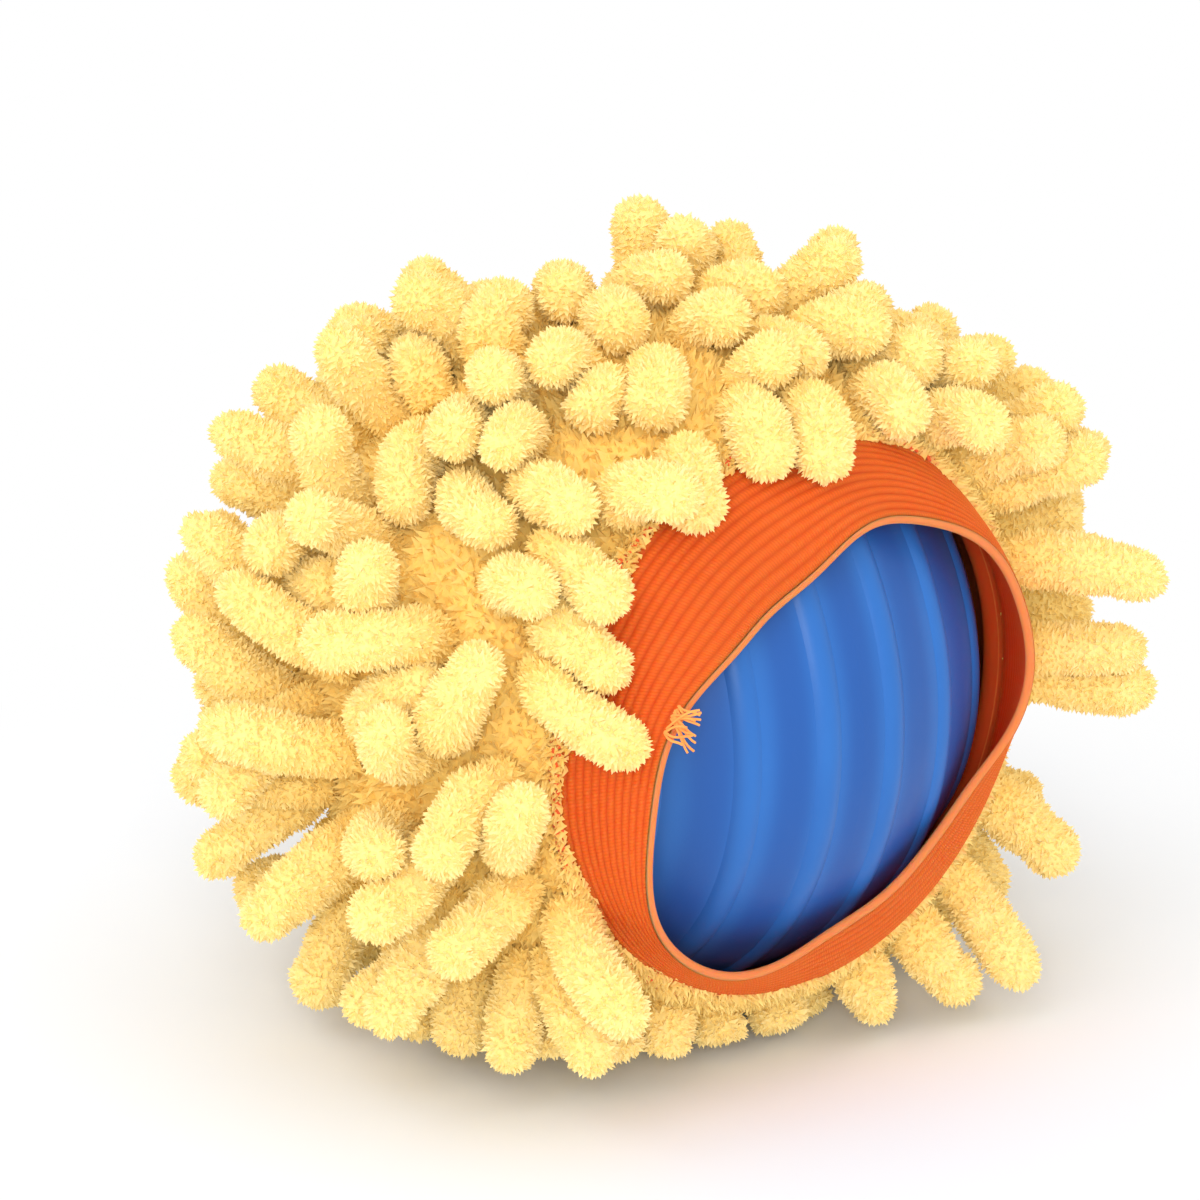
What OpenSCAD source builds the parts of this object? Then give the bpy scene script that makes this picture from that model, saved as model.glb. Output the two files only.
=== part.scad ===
// Electronic cat ball toy: a motor ball that rolls by turning its own weight,
// in a soft cover of chenille noodles with a stretch mouth. Millimetres, +Z up.
// The mouth faces -Y, the drive axis runs along X, and the floor is z = 0.

/* [Ball] */
// Outer diameter of the ball's shell
ball_d = 70; // [70:1:90]
// Wall of the shell
shell_wall = 1.8; // [1.6:0.1:2.2]
// Spacing of the raised rings along the drive axis
ring_pitch = 8.5; // [7:0.5:11]
// Width of a raised ring
ring_w = 3; // [2:0.5:4]
// Height of a raised ring
ring_h = 0.5; // [0.3:0.1:0.7]
// Length of the spigot that enters the cap half
spigot_len = 4.5; // [4:0.1:6]
// Wall of the spigot
spigot_wall = 1.5; // [1.2:0.1:1.8]
// Wall left around the spigot at the cap half's rim
rim_wall = 1.95; // [1.8:0.05:2.4]
// Number of bayonet lugs
lug_count = 3; // [2:1:4]
// Width of a lug round the rim, in degrees
lug_angle = 14; // [10:1:18]
// Height of a lug above the spigot
lug_h = 1; // [0.6:0.1:1.1]
// Twist that frees the cap half, in degrees
twist_angle = 30; // [24:1:40]
// Diameter of the bosses at the two poles
pole_boss_d = 12; // [10:0.5:14]
// Number of gussets round a pole boss
gusset_count = 6; // [3:1:8]

/* [Cover] */
// Gap between the rings and the fabric
cover_gap = 1; // [0.6:0.1:2]
// Thickness of the base fabric
fabric_t = 2.2; // [1.5:0.1:3]
// Angle from the mouth's axis to the fabric's rim
rim_angle = 54; // [50:1:58]
// Width of the elastic band from the fabric to the lip
band_w = 11; // [8:0.5:12]
// Thickness of the elastic band
band_t = 1.4; // [1:0.1:2]
// Inner diameter of the stretch mouth at the lip
mouth_d = 48; // [44:1:53]
// Diameter of the rolled lip
lip_d = 2; // [1.6:0.1:2.6]

/* [Noodles] */
// Diameter of a chenille noodle
noodle_d = 6.6; // [5:0.2:6.8]
// Length of a noodle from the fabric to its tip
noodle_len = 17.5; // [13:0.5:18]
// Noodles that would cover a whole sphere
noodle_lattice = 250; // [150:10:250]
// Noodles in the row along the fabric's rim
rim_noodles = 26; // [18:1:28]
// Angle from the mouth's axis to the row along the rim
rim_row = 60.5; // [60:0.5:61]
// Angle from the mouth's axis to the noodles behind that row
noodle_start = 70.5; // [70.5:0.5:76]
// Height of the noodles that the ball's weight presses flat
press_h = 1.6; // [1.4:0.2:6.6]
// Sideways lean of the noodles
noodle_lean = 0.35; // [0:0.05:0.4]
// Change of lean across the cover, in degrees per ball radius
lean_wave = 172; // [60:4:180]
// How upright the noodles on the crown and underside stay
crown_stand = 0.7; // [0.5:0.05:1]
// Flop of the crown's noodles to the left
flop_side = 0.6; // [0:0.05:0.8]
// Flop of the crown's noodles towards the mouth
flop_front = 0.4; // [0:0.05:0.5]
// Share of length that the crown's noodles lose as they flop
crown_droop = 0.3; // [0.2:0.05:0.5]
// Backward sweep of the noodles below the mouth
under_sweep = 0.6; // [0:0.1:0.8]
// Spread of the noodles' lengths
length_spread = 0.16; // [0:0.02:0.2]

/* [Motor] */
// Width of the motor can
motor_w = 20.1; // [19:0.1:21]
// Height of the motor can over its flats
motor_h = 15.1; // [14.5:0.1:15.5]
// Length of the motor can
motor_len = 21; // [18:0.5:22]
// Length of the motor's end bell
bell_len = 4.5; // [3.5:0.5:5.5]
// Diameter of the motor's bearing bosses
motor_boss_d = 6.15; // [5.5:0.05:7]
// Diameter of the motor shaft
motor_shaft_d = 2; // [1.5:0.1:2.2]

/* [Gears] */
// Gear module
gear_m = 0.5; // [0.4:0.05:0.5]
// Teeth on a pinion
pinion_teeth = 10; // [10:1:12]
// Teeth on a wheel
wheel_teeth = 30; // [26:1:30]
// Pressure angle
pressure_angle = 25; // [20:1:25]
// Face width of a gear
gear_w = 2.5; // [2:0.1:3]
// Gap between neighbouring gear layers
layer_gap = 0.5; // [0.4:0.1:0.8]
// Backlash at the pitch circle
backlash = 0.12; // [0.08:0.01:0.2]
// Diameter of the steel pin that carries the idle gears
gear_pin_d = 2; // [1.6:0.1:2.2]
// Diameter of the output shaft's nose
nose_d = 3; // [2.5:0.1:3.2]
// Diameter of the output shaft's journal
journal_d = 5; // [4:0.1:6]
// Width across flats of the output shaft's hexagon
hex_af = 5; // [4:0.1:5]
// Thickness of the gearbox plate
plate_t = 2; // [1.6:0.1:2.4]

/* [Cells] */
// Diameter of a cell
cell_d = 10.5; // [9.5:0.1:10.5]
// Length of a cell with its nub
cell_len = 44.5; // [43:0.1:45]
// Space for the contact spring behind a cell
spring_space = 3.9; // [3:0.1:4.2]
// Turns of a contact spring
spring_turns = 3; // [2:1:4]
// Wire of a contact spring
spring_wire = 0.5; // [0.4:0.05:0.6]

/* [Chassis] */
// Wall of the cell tray
tray_wall = 1.6; // [1.2:0.1:2]
// End wall of the cell tray
end_wall = 1.4; // [1.2:0.1:1.8]
// Thickness of the deck between the cells and the motor
deck_t = 1; // [0.8:0.1:1.4]
// Thickness of the battery door
door_t = 1.4; // [1:0.1:1.6]
// Diameter of the chassis pivot pin
pivot_d = 5; // [4:0.1:6]
// Thickness of the motor clamp
clamp_t = 1.6; // [1.2:0.1:2]
// Width of the motor clamp along the motor
clamp_w = 16; // [12:1:18]
// Diameter of the screw shanks
screw_d = 1.6; // [1.4:0.1:2]

/* [Board] */
// Length of the control board
board_len = 27; // [24:1:29]
// Width of the control board
board_w = 22; // [18:1:22]
// Thickness of the control board
board_t = 1.2; // [0.8:0.1:1.6]
// Height of the board above the motor clamp
board_lift = 1.75; // [1.2:0.05:2.5]
// Travel of the power switch from its middle to each end
switch_travel = 1; // [0.6:0.1:1.4]
// Diameter of the insulated leads
lead_d = 1.1; // [0.8:0.1:1.4]

/* [Hidden] */
$fn = 64;

// Clearances: a running pin, a pressed pin, a seated piece, two shell halves and the swinging chassis
run_gap = 0.05;
press_gap = 0.01;
seat_gap = 0.05;
shell_gap = 0.15;
swing_gap = 0.5;
// Overrun of a cut past the face that it opens
over = 1;

// Ball
ball_r = ball_d / 2;
shell_r = ball_r - shell_wall;
ring_r = (pow(ring_w / 2, 2) + ring_h * ring_h) / (2 * ring_h);
rim_r = ball_r - rim_wall;
spigot_r = rim_r - shell_gap;
spigot_in = spigot_r - spigot_wall;
spigot_root = 3;
lug_x = -2.9;
lug_w = 1.4;
lug_play = 0.2;
lug_play_angle = 1;
spigot_end_gap = 0.5;
gusset_t = 1.2;

// Cover
fabric_in = ball_r + ring_h + cover_gap;
fabric_r = fabric_in + fabric_t;
rim_depth = fabric_r * cos(rim_angle);
band_root_r = fabric_r * sin(rim_angle);
lip_r = (mouth_d + lip_d) / 2;
band_drop = band_root_r - lip_r;
lip_depth = rim_depth + sqrt(band_w * band_w - band_drop * band_drop);
lip_front = lip_depth + lip_d / 2;

// Noodles
noodle_r = noodle_d / 2;
golden_angle = 137.508;
golden_share = 0.618034;
length_start = 2;
front_angle = 84;
back_angle = 128;
wave_angles = [40, 150, 260];

// Place of the ball's centre above the floor and behind the mouth
ball_z = fabric_r + press_h;
ball_y = (max(lip_front, ball_r) - fabric_r - noodle_len) / 2;

// Cell tray, from the cells outwards
contact_t = 0.4;
nub_len = 1;
nub_d = 4;
cell_gap = 0.7;
cell_play = 0.25;
deck_play = 0.15;
cell_y = (cell_d + cell_gap) / 2;
tray_half = (cell_len + spring_space) / 2 + contact_t;
chassis_end = tray_half + end_wall;
motor_z = -motor_h / 2;
deck_top = motor_z - seat_gap;
deck_bottom = deck_top - deck_t;
cell_z = deck_bottom - deck_play - cell_d / 2;
tray_in = cell_y + cell_d / 2 + cell_play;
tray_out = tray_in + tray_wall;
door_top = cell_z - cell_d / 2 - cell_play;
door_bottom = door_top - door_t;
door_gap = 0.1;
door_tab = 0.8;
door_tab_w = 6;
door_rib_pitch = 5.6;
contact_w = 7;
contact_h = 7.4;
tail_w = 2.4;
tail_len = 2.4;
tail_gap = 0.4;
spring_small_r = 2.3;
spring_big_r = 3.6;
pivot_wall_r = 8.5;

// Gear train, from the gearbox plate back to the motor
plate_x = tray_half - contact_t - plate_t;
stack_play = 0.7;
wheel_r = gear_m * wheel_teeth / 2;
pinion_r = gear_m * pinion_teeth / 2;
gear_z = wheel_r + pinion_r + run_gap;
addendum = 0.8 * gear_m;
dedendum = 1.05 * gear_m;
flank_steps = 3;
frame_t = 1.75;
frame_play = 0.2;
frame_x = layer_x(0) - frame_play - frame_t;
motor_x = frame_x - seat_gap;
bell_x = motor_x - motor_len - bell_len;
motor_boss_len = 1.6;
frame_edge = 0.5;
frame_head = 4.5;
window_w = 10.5;
post_d = 4.6;
post_gap = 1.4;
post_z = 3;
low_post_gap = 0.4;
low_post_z = -5;
post_y = wheel_r + addendum + post_d / 2 + post_gap;
low_post_y = wheel_r + addendum + post_d / 2 + low_post_gap;
post_spots = [[-post_y, post_z], [post_y, post_z], [-low_post_y, low_post_z], [low_post_y, low_post_z]];
bush_wall = 1.5;
bush_lip = 1;
bush_flange = 0.8;
bush_d = journal_d + 2 * bush_wall;
pole_gap = 1.2;
pole_x = max(chassis_end, plate_x + plate_t + bush_flange) + pole_gap;
pole_floor = 1.5;
socket_end = ball_r - pole_floor - shell_wall;

// Motor clamp and board
clamp_play = 0.1;
clamp_inset = 2.5;
clamp_x = motor_x - clamp_inset - clamp_w;
clamp_in = motor_w / 2 + clamp_play;
clamp_top = motor_h / 2 + clamp_play + clamp_t;
foot_w = 4.6;
foot_y = clamp_in + clamp_t + foot_w / 2;
foot_spots = [[clamp_x + clamp_w / 2, -foot_y], [clamp_x + clamp_w / 2, foot_y]];
boss_len = 6;
board_inset = 1.5;
board_x = motor_x - board_inset - board_len;
board_z = clamp_top + board_lift;
board_top = board_z + board_t;
board_edge = 2.6;
board_hole_y = board_w / 2 - board_edge;
board_spots = [[clamp_x + clamp_w / 2, -board_hole_y], [clamp_x + clamp_w / 2, board_hole_y]];

// Screws: head, drive cross, and how far they go in
head_d = 3.2;
head_h = 1.3;
cross_len = 2.2;
cross_w = 0.4;
cross_depth = 0.6;
pilot_d = screw_d + 2 * seat_gap;
clear_d = screw_d + 4 * seat_gap;
hole_end = 1;
post_screw_len = 7;
boss_screw_len = 4;

// Parts on the board, each placed from the board's end and its middle line
switch_size = [8.6, 3.6, 3.4];
switch_edge = 2.4;
switch_at = [9.5, switch_edge - board_w / 2];
knob_size = [2.2, 1.6, 2.4];
slide_gap = 0.1;
chip_size = [5, 4, 1.5];
chip_at = [9, -1.5];
chip_lift = 0.3;
chip_legs = 4;
leg_size = [0.4, 1.3, 0.9];
capacitor_d = 5;
capacitor_h = 5.4;
capacitor_at = [16.5, -1.5];
groove_z = 0.8;
groove_w = 0.4;
groove_depth = 0.2;
sensor_d = 4.4;
sensor_len = 9;
sensor_edge = 5;
sensor_at = [8, board_w / 2 - sensor_edge];
sensor_lead_d = 1.1;
sensor_lead_len = 1.5;
part_gap = 0.05;

// Motor terminals
terminal_t = 0.6;
terminal_w = 2.4;
terminal_out = 0.4;

// Routes of the leads, from a cell contact to the board and from the board to the motor
lead_gap = lead_d / 2 + 0.1;
contact_x = -tray_half + contact_t + lead_gap;
terminal_x = bell_x - lead_gap - terminal_out;
function supply_route(side) = [
    [contact_x, side * cell_y, deck_top + 0.6], [contact_x, side * cell_y, deck_top + 3],
    [contact_x + 1, side * (cell_y + 1), 0], [board_x - 1, side * (cell_y + 1), board_z - 3],
    [board_x - 0.8, side * (cell_y + 1), board_top + 0.8], [board_x, side * (cell_y + 1), board_top + 2],
    [board_x + 1.4, side * cell_y, board_top + 2.2], [board_x + 2, side * cell_y, board_top + 1.4],
    [board_x + 2, side * cell_y, board_top + 0.1]
];
function motor_route(side) = [
    [board_x + 4.5, side * 3.4, board_z - 0.1], [board_x + 4.4, side * 3.5, board_z - 1.6],
    [terminal_x - 0.8, side * 4.4, board_z - 4], [terminal_x - 0.4, side * motor_w / 4, terminal_w + 1],
    [terminal_x - 0.2, side * motor_w / 4, terminal_w - 1]
];

// Shapes along the drive axis
module x_rod(d, x0, x1) translate([x0, 0, 0]) rotate([0, 90, 0]) cylinder(d = d, h = x1 - x0);
module x_plate(x0, x1) translate([x0, 0, 0]) rotate([90, 0, 90]) linear_extrude(x1 - x0) children();
module block(low, high) translate(low) cube(high - low);
module at_ball() translate([0, ball_y, ball_z]) children();

// Pie slice about the drive axis, for lugs and slots
module x_wedge(r, a0, a1, x0, x1) {
    far = 2 * r;
    x_plate(x0, x1) intersection() {
        circle(r);
        polygon([[0, 0], far * [cos(a0), sin(a0)], far * [cos((a0 + a1) / 2), sin((a0 + a1) / 2)],
                 far * [cos(a1), sin(a1)]]);
    }
}

// Body turned about the drive axis from a section drawn as (radius, x)
module x_turned() rotate([0, 90, 0]) rotate_extrude($fn = 96) children();

// Space that the chassis may fill as the shell turns round it
module swing_space() x_turned() intersection() {
    circle(shell_r - swing_gap);
    translate([0, -ball_r]) square([spigot_in - swing_gap, 2 * ball_r]);
}

// Round tube along a list of points; side is any direction that the path never follows
function unit(v) = v / norm(v);
module tube(points, d, side, sides = 8) {
    last = len(points) - 1;
    rings = [for (i = [0:last]) let(
        along = unit(points[min(i + 1, last)] - points[max(i - 1, 0)]),
        u = unit(cross(along, side)),
        v = cross(along, u)
    ) [for (k = [0:sides - 1]) points[i] + d / 2 * (cos(360 * k / sides) * u + sin(360 * k / sides) * v)]];
    polyhedron([for (ring = rings) each ring], concat(
        [[for (k = [0:sides - 1]) k]],
        [for (i = [0:last - 1], k = [0:sides - 1]) let(a = i * sides, b = a + sides, n = (k + 1) % sides)
            each [[a + k, b + k, b + n], [a + k, b + n, a + n]]],
        [[for (k = [sides - 1:-1:0]) last * sides + k]]
    ));
}

// Involute gear with one tooth centred on the given angle
function involute(a) = tan(a) * 180 / PI - a;
function layer_x(i) = plate_x - stack_play - gear_w - (3 - i) * (gear_w + layer_gap);
module gear_outline(teeth, tooth_at) {
    pitch = gear_m * teeth / 2;
    base = pitch * cos(pressure_angle);
    root = pitch - dedendum;
    start = max(base, root);
    tip = pitch + addendum;
    half_tooth = (45 * gear_m - backlash * 90 / PI) / pitch + involute(pressure_angle);
    flank = concat(
        base > root ? [[root, half_tooth]] : [],
        [for (k = [0:flank_steps]) let(r = start + (tip - start) * k / flank_steps)
            [r, half_tooth - involute(acos(base / r))]]);
    count = len(flank) - 1;
    polygon([for (t = [0:teeth - 1], side = [-1, 1], k = [0:count])
        let(f = flank[side < 0 ? k : count - k], a = tooth_at + 360 * t / teeth + side * f[1])
            f[0] * [cos(a), sin(a)]]);
}
module wheel(layer, gap_at) x_plate(layer_x(layer), layer_x(layer) + gear_w)
    gear_outline(wheel_teeth, gap_at + 180 / wheel_teeth);
module pinion(layer, tooth_at, lead_in = 0) x_plate(layer_x(layer) - lead_in, layer_x(layer) + gear_w)
    gear_outline(pinion_teeth, tooth_at);
module compound_gear(layer, gap_at, tooth_at, bore_d) difference() {
    union() {
        wheel(layer, gap_at);
        pinion(layer + 1, tooth_at, layer_gap);
    }
    x_rod(bore_d, layer_x(layer) - over, layer_x(layer + 1) + gear_w + over);
}
module at_gear_pin() translate([0, 0, gear_z]) children();

// Screw whose head seats at the origin with its shank along -Z
module screw(shank) {
    translate([0, 0, -shank]) cylinder(d = screw_d, h = shank);
    difference() {
        cylinder(d = head_d, h = head_h);
        for (turn = [0, 90]) rotate(turn) translate([0, 0, head_h])
            cube([cross_len, cross_w, 2 * cross_depth], center = true);
    }
}

// Cover: base fabric, noodles and the stretch mouth
module cover_fabric() color("goldenrod") at_ball() rotate([90, 0, 0]) rotate_extrude() intersection() {
    difference() {
        circle(fabric_r);
        circle(fabric_in);
    }
    translate([0, -fabric_r]) square([fabric_r, fabric_r + rim_depth]);
}

// Roots of the noodles on a unit sphere: a row along the rim, then a lattice that winds to the back
function polar_of(p) = acos(-p.y);
function root_at(polar, turn) = [sin(polar) * cos(turn), -cos(polar), sin(polar) * sin(turn)];
function lattice_polar(i) = acos(1 - (2 * i + 1) / noodle_lattice);
noodle_roots = concat(
    [for (i = [0:rim_noodles - 1]) root_at(rim_row, 360 * i / rim_noodles)],
    [for (i = [0:noodle_lattice - 1]) if (lattice_polar(i) > noodle_start)
        root_at(lattice_polar(i), golden_angle * i)]);

// Way of a noodle: upright along the rim, leaning elsewhere, flopped on the crown, swept back below the mouth
function lean_at(p) = [
    sin(lean_wave * p.y + wave_angles[0]),
    sin(lean_wave * p.z + wave_angles[1]),
    sin(lean_wave * p.x + wave_angles[2])
];
function noodle_way(p) = let(
    lean = polar_of(p) > noodle_start ? noodle_lean * lean_at(p) : [0, 0, 0],
    crown = pow(max(0, p.z), 2),
    under = pow(max(0, -p.z), 2) * max(0, -p.y)
) unit(unit([p.x, p.y, crown_stand * p.z]) + lean - (lean * p) * p
       - crown * [flop_side, flop_front, 0] + under * [0, under_sweep, 0]);
function noodle_free(i, p) = let(share = golden_share * (i + length_start))
    noodle_len * (1 - crown_droop * pow(max(0, p.z), 2)) * (1 + length_spread * (share - floor(share) - 0.5));
function noodle_reach(i, p, way) = let(free = noodle_free(i, p))
    way.z < 0 ? min(free, noodle_r + (ball_z + fabric_r * p.z - noodle_r) / -way.z) : free;

module noodle(i) {
    root = noodle_roots[i];
    way = noodle_way(root);
    reach = noodle_reach(i, root, way);
    difference() {
        translate(fabric_r * root) rotate([0, acos(way.z), atan2(way.y, way.x)]) {
            translate([0, 0, -noodle_r]) cylinder(r = noodle_r, h = reach, $fn = 24);
            translate([0, 0, reach - noodle_r]) sphere(noodle_r, $fn = 24);
        }
        sphere(fabric_r + seat_gap);
    }
}
module noodles(from, to, side = 0) color("khaki") at_ball()
    for (i = [0:len(noodle_roots) - 1]) let(root = noodle_roots[i])
        if (polar_of(root) > from && polar_of(root) <= to && root.x * side >= 0) noodle(i);
module front_noodles() noodles(0, front_angle);
module left_noodles() noodles(front_angle, back_angle, -1);
module right_noodles() noodles(front_angle, back_angle, 1);
module back_noodles() noodles(back_angle, 180);

module elastic_band() color("orangered") at_ball() rotate([90, 0, 0]) rotate_extrude() {
    polygon([[band_root_r, rim_depth], [lip_r + band_t / 2, lip_depth],
             [lip_r - band_t / 2, lip_depth], [band_root_r - band_t, rim_depth]]);
    translate([lip_r, lip_depth]) circle(d = lip_d, $fn = 32);
}

// Shell halves; the drive half carries the spigot and lugs, the cap half the slots
module ringed_section() difference() {
    union() {
        circle(ball_r);
        for (side = [-1, 1], x = [ring_pitch / 2:ring_pitch:ball_r - 2 * ring_w])
            translate([sqrt(pow(ball_r + ring_h - ring_r, 2) - x * x), side * x]) circle(ring_r);
    }
    circle(shell_r);
}
module within_wall() intersection() {
    circle(ball_r - shell_wall / 2);
    children();
}
module half_section(side) intersection() {
    union() {
        ringed_section();
        within_wall() translate([0, side > 0 ? pole_x : -ball_r])
            square([pole_boss_d / 2, ball_r - pole_x]);
        if (side > 0) within_wall() translate([spigot_in, 0]) square([ball_r, spigot_root]);
    }
    translate([0, side > 0 ? 0 : -2 * ball_r]) square(2 * ball_r);
}
module gussets(side) mirror([side > 0 ? 0 : 1, 0, 0]) for (k = [0:gusset_count - 1])
    rotate([360 * k / gusset_count, 0, 0]) translate([0, 0, -gusset_t / 2]) linear_extrude(gusset_t)
        within_wall() translate([pole_x + pole_gap, pole_boss_d / 4]) square(ball_r / 2);
module hex_rod(across, x0, x1) translate([x0, 0, 0]) rotate([0, 90, 0])
    cylinder(d = across / cos(30), h = x1 - x0, $fn = 6);

module drive_half() color("royalblue") at_ball() difference() {
    union() {
        x_turned() {
            half_section(1);
            translate([spigot_in, -spigot_len]) square([spigot_wall, spigot_len + spigot_root]);
        }
        gussets(1);
        for (k = [0:lug_count - 1]) let(a = 90 + 360 * k / lug_count) difference() {
            x_wedge(spigot_r + lug_h, a - lug_angle / 2, a + lug_angle / 2, lug_x, lug_x + lug_w);
            x_rod(2 * spigot_in + spigot_wall, -spigot_len, spigot_root);
        }
    }
    hex_rod(hex_af + 2 * run_gap, pole_x - over, socket_end);
}
module cap_half() color("royalblue") at_ball() difference() {
    union() {
        x_turned() difference() {
            half_section(-1);
            translate([0, -spigot_len - spigot_end_gap]) square([rim_r, ball_r]);
        }
        gussets(-1);
    }
    for (k = [0:lug_count - 1]) let(
        a = 90 + 360 * k / lug_count,
        half = lug_angle / 2 + lug_play_angle,
        r = spigot_r + lug_h + lug_play
    ) {
        x_wedge(r, a - twist_angle - half, a + half, lug_x - lug_play, lug_x + lug_w + lug_play);
        x_wedge(r, a - twist_angle - half, a - twist_angle + half, lug_x - lug_play, over);
    }
    x_rod(pivot_d + 2 * run_gap, -socket_end, -pole_x + over);
}

// Output: the shell's own shaft and gear, and the chassis bush that they turn in
module output_shaft() color("silver") at_ball() {
    journal_x = plate_x - stack_play / 2;
    x_rod(nose_d, layer_x(1), journal_x);
    x_rod(journal_d, journal_x, pole_x - run_gap);
    hex_rod(hex_af, pole_x - run_gap, socket_end - pole_floor / 2);
}
module output_gear() color("white") at_ball() difference() {
    wheel(3, 90);
    x_rod(nose_d + 2 * press_gap, layer_x(3) - over, layer_x(3) + gear_w + over);
}
module output_bush() color("darkgoldenrod") at_ball() difference() {
    union() {
        x_rod(bush_d, plate_x, plate_x + plate_t);
        x_rod(bush_d + 2 * bush_lip, plate_x + plate_t, plate_x + plate_t + bush_flange);
    }
    x_rod(journal_d + 2 * run_gap, plate_x - over, pole_x);
}

// Chassis: cell tray, deck, gear frame and pivot wall in one moulding
module gear_frame_outline() intersection() {
    circle(gear_z + wheel_r + frame_edge);
    translate([-tray_out, deck_bottom]) square([2 * tray_out, gear_z + frame_head - deck_bottom]);
}
module tray() difference() {
    block([-chassis_end, -tray_out, door_bottom], [chassis_end, tray_out, deck_top]);
    block([-tray_half, -tray_in, door_bottom - over], [tray_half, tray_in, deck_bottom]);
    block([frame_x + frame_t, -window_w / 2, deck_bottom - over], [tray_half, window_w / 2, deck_top + over]);
    for (end = [-1, 1]) translate([end * (tray_half + door_tab / 2), 0, door_top])
        cube([door_tab + 2 * door_gap, door_tab_w + 2 * door_gap, door_tab + 2 * door_gap], center = true);
    for (side = [-1, 1])
        block([-tray_half, side * cell_y - tail_w / 2 - tail_gap, deck_bottom - over],
              [-tray_half + 2 * contact_t, side * cell_y + tail_w / 2 + tail_gap, deck_top + over]);
}
module chassis_base() color("dimgray") at_ball() {
    difference() {
        union() {
            intersection() {
                swing_space();
                union() {
                    tray();
                    for (spot = foot_spots) translate([spot.x, spot.y, deck_top - boss_len]) {
                        cylinder(d = foot_w, h = boss_len);
                        translate([-foot_w / 2, spot.y > 0 ? tray_in - foot_y : 0, 0])
                            cube([foot_w, foot_y - tray_in, boss_len]);
                    }
                    x_plate(-chassis_end, -tray_half) intersection() {
                        circle(pivot_wall_r);
                        translate([-ball_r, deck_bottom]) square(2 * ball_r);
                    }
                }
            }
            x_plate(frame_x, frame_x + frame_t) gear_frame_outline();
            for (spot = post_spots) translate([0, spot[0], spot[1]])
                x_rod(post_d, frame_x, plate_x - seat_gap);
            x_rod(pivot_d, -socket_end + pole_floor / 2, -tray_half);
        }
        x_rod(motor_boss_d + 2 * run_gap, frame_x - over, frame_x + frame_t + over);
        at_gear_pin() x_rod(gear_pin_d + 2 * press_gap, frame_x - over, frame_x + frame_t + over);
        for (spot = post_spots) translate([0, spot[0], spot[1]])
            x_rod(pilot_d, plate_x - post_screw_len - hole_end, plate_x + over);
        for (spot = foot_spots) translate([spot.x, spot.y, deck_top - boss_screw_len - hole_end])
            cylinder(d = pilot_d, h = boss_len);
    }
}
module gearbox_plate() color("dimgray") at_ball() difference() {
    x_plate(plate_x, plate_x + plate_t) intersection() {
        gear_frame_outline();
        translate([-ball_r, deck_top]) square(2 * ball_r);
    }
    x_rod(bush_d + 2 * press_gap, plate_x - over, plate_x + plate_t + over);
    at_gear_pin() x_rod(gear_pin_d + 2 * press_gap, plate_x - over, plate_x + plate_t + over);
    for (spot = post_spots) translate([0, spot[0], spot[1]])
        x_rod(clear_d, plate_x - over, plate_x + plate_t + over);
}
module gear_pin() color("silver") at_ball() at_gear_pin() x_rod(gear_pin_d, frame_x, plate_x + plate_t);
module motor_clamp() color("slategray") at_ball() difference() {
    union() {
        difference() {
            block([clamp_x, -clamp_in - clamp_t, deck_top],
                  [clamp_x + clamp_w, clamp_in + clamp_t, clamp_top]);
            block([clamp_x - over, -clamp_in, deck_top - over],
                  [clamp_x + clamp_w + over, clamp_in, clamp_top - clamp_t]);
        }
        for (spot = foot_spots) translate([spot.x, spot.y, deck_top]) {
            cylinder(d = foot_w, h = clamp_t);
            translate([-foot_w / 2, spot.y > 0 ? -foot_w / 2 - clamp_t / 2 : 0, 0])
                cube([foot_w, foot_w / 2 + clamp_t / 2, clamp_t]);
        }
        for (spot = board_spots) translate([spot.x, spot.y, clamp_top - clamp_t / 2])
            cylinder(d = foot_w, h = board_lift + clamp_t / 2 - seat_gap);
    }
    for (spot = foot_spots) translate([spot.x, spot.y, deck_top - over])
        cylinder(d = clear_d, h = clamp_t + 2 * over);
    for (spot = board_spots) translate([spot.x, spot.y, clamp_top - clamp_t / 4])
        cylinder(d = pilot_d, h = board_lift + 2 * over);
}
module battery_door() color("dimgray") at_ball() intersection() {
    swing_space();
    union() {
        block([-tray_half + door_gap, -tray_in + door_gap, door_bottom],
              [tray_half - door_gap, tray_in - door_gap, door_top]);
        for (end = [-1, 1]) translate([end * (tray_half + door_tab / 2 - 3 * door_gap), 0, door_top])
            cube([door_tab + 6 * door_gap, door_tab_w, door_tab], center = true);
        for (x = [-1, 0, 1]) translate([x * door_rib_pitch, 0, door_bottom])
            cube([door_t, tray_in, door_t], center = true);
    }
}

// Cells and contacts; the nub of the left cell points to -X, of the right cell to +X
module cell(side) translate([0, side * cell_y, cell_z]) mirror([side > 0 ? 0 : 1, 0, 0]) {
    x_rod(cell_d, tray_half - contact_t - cell_len, tray_half - contact_t - nub_len);
    x_rod(nub_d, tray_half - contact_t - nub_len, tray_half - contact_t);
}
module left_cell() color("darkgreen") at_ball() cell(-1);
module right_cell() color("darkgreen") at_ball() cell(1);
module contact_plates() color("gainsboro") at_ball() {
    block([tray_half - contact_t, -cell_y - contact_w / 2, cell_z - contact_h / 2],
          [tray_half, cell_y + contact_w / 2, cell_z + contact_h / 2]);
    for (side = [-1, 1]) {
        block([-tray_half, side * cell_y - contact_w / 2, cell_z - contact_h / 2],
              [-tray_half + contact_t, side * cell_y + contact_w / 2, cell_z + contact_h / 2]);
        block([-tray_half, side * cell_y - tail_w / 2, cell_z + contact_h / 2],
              [-tray_half + contact_t, side * cell_y + tail_w / 2, deck_top + tail_len]);
    }
}
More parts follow.
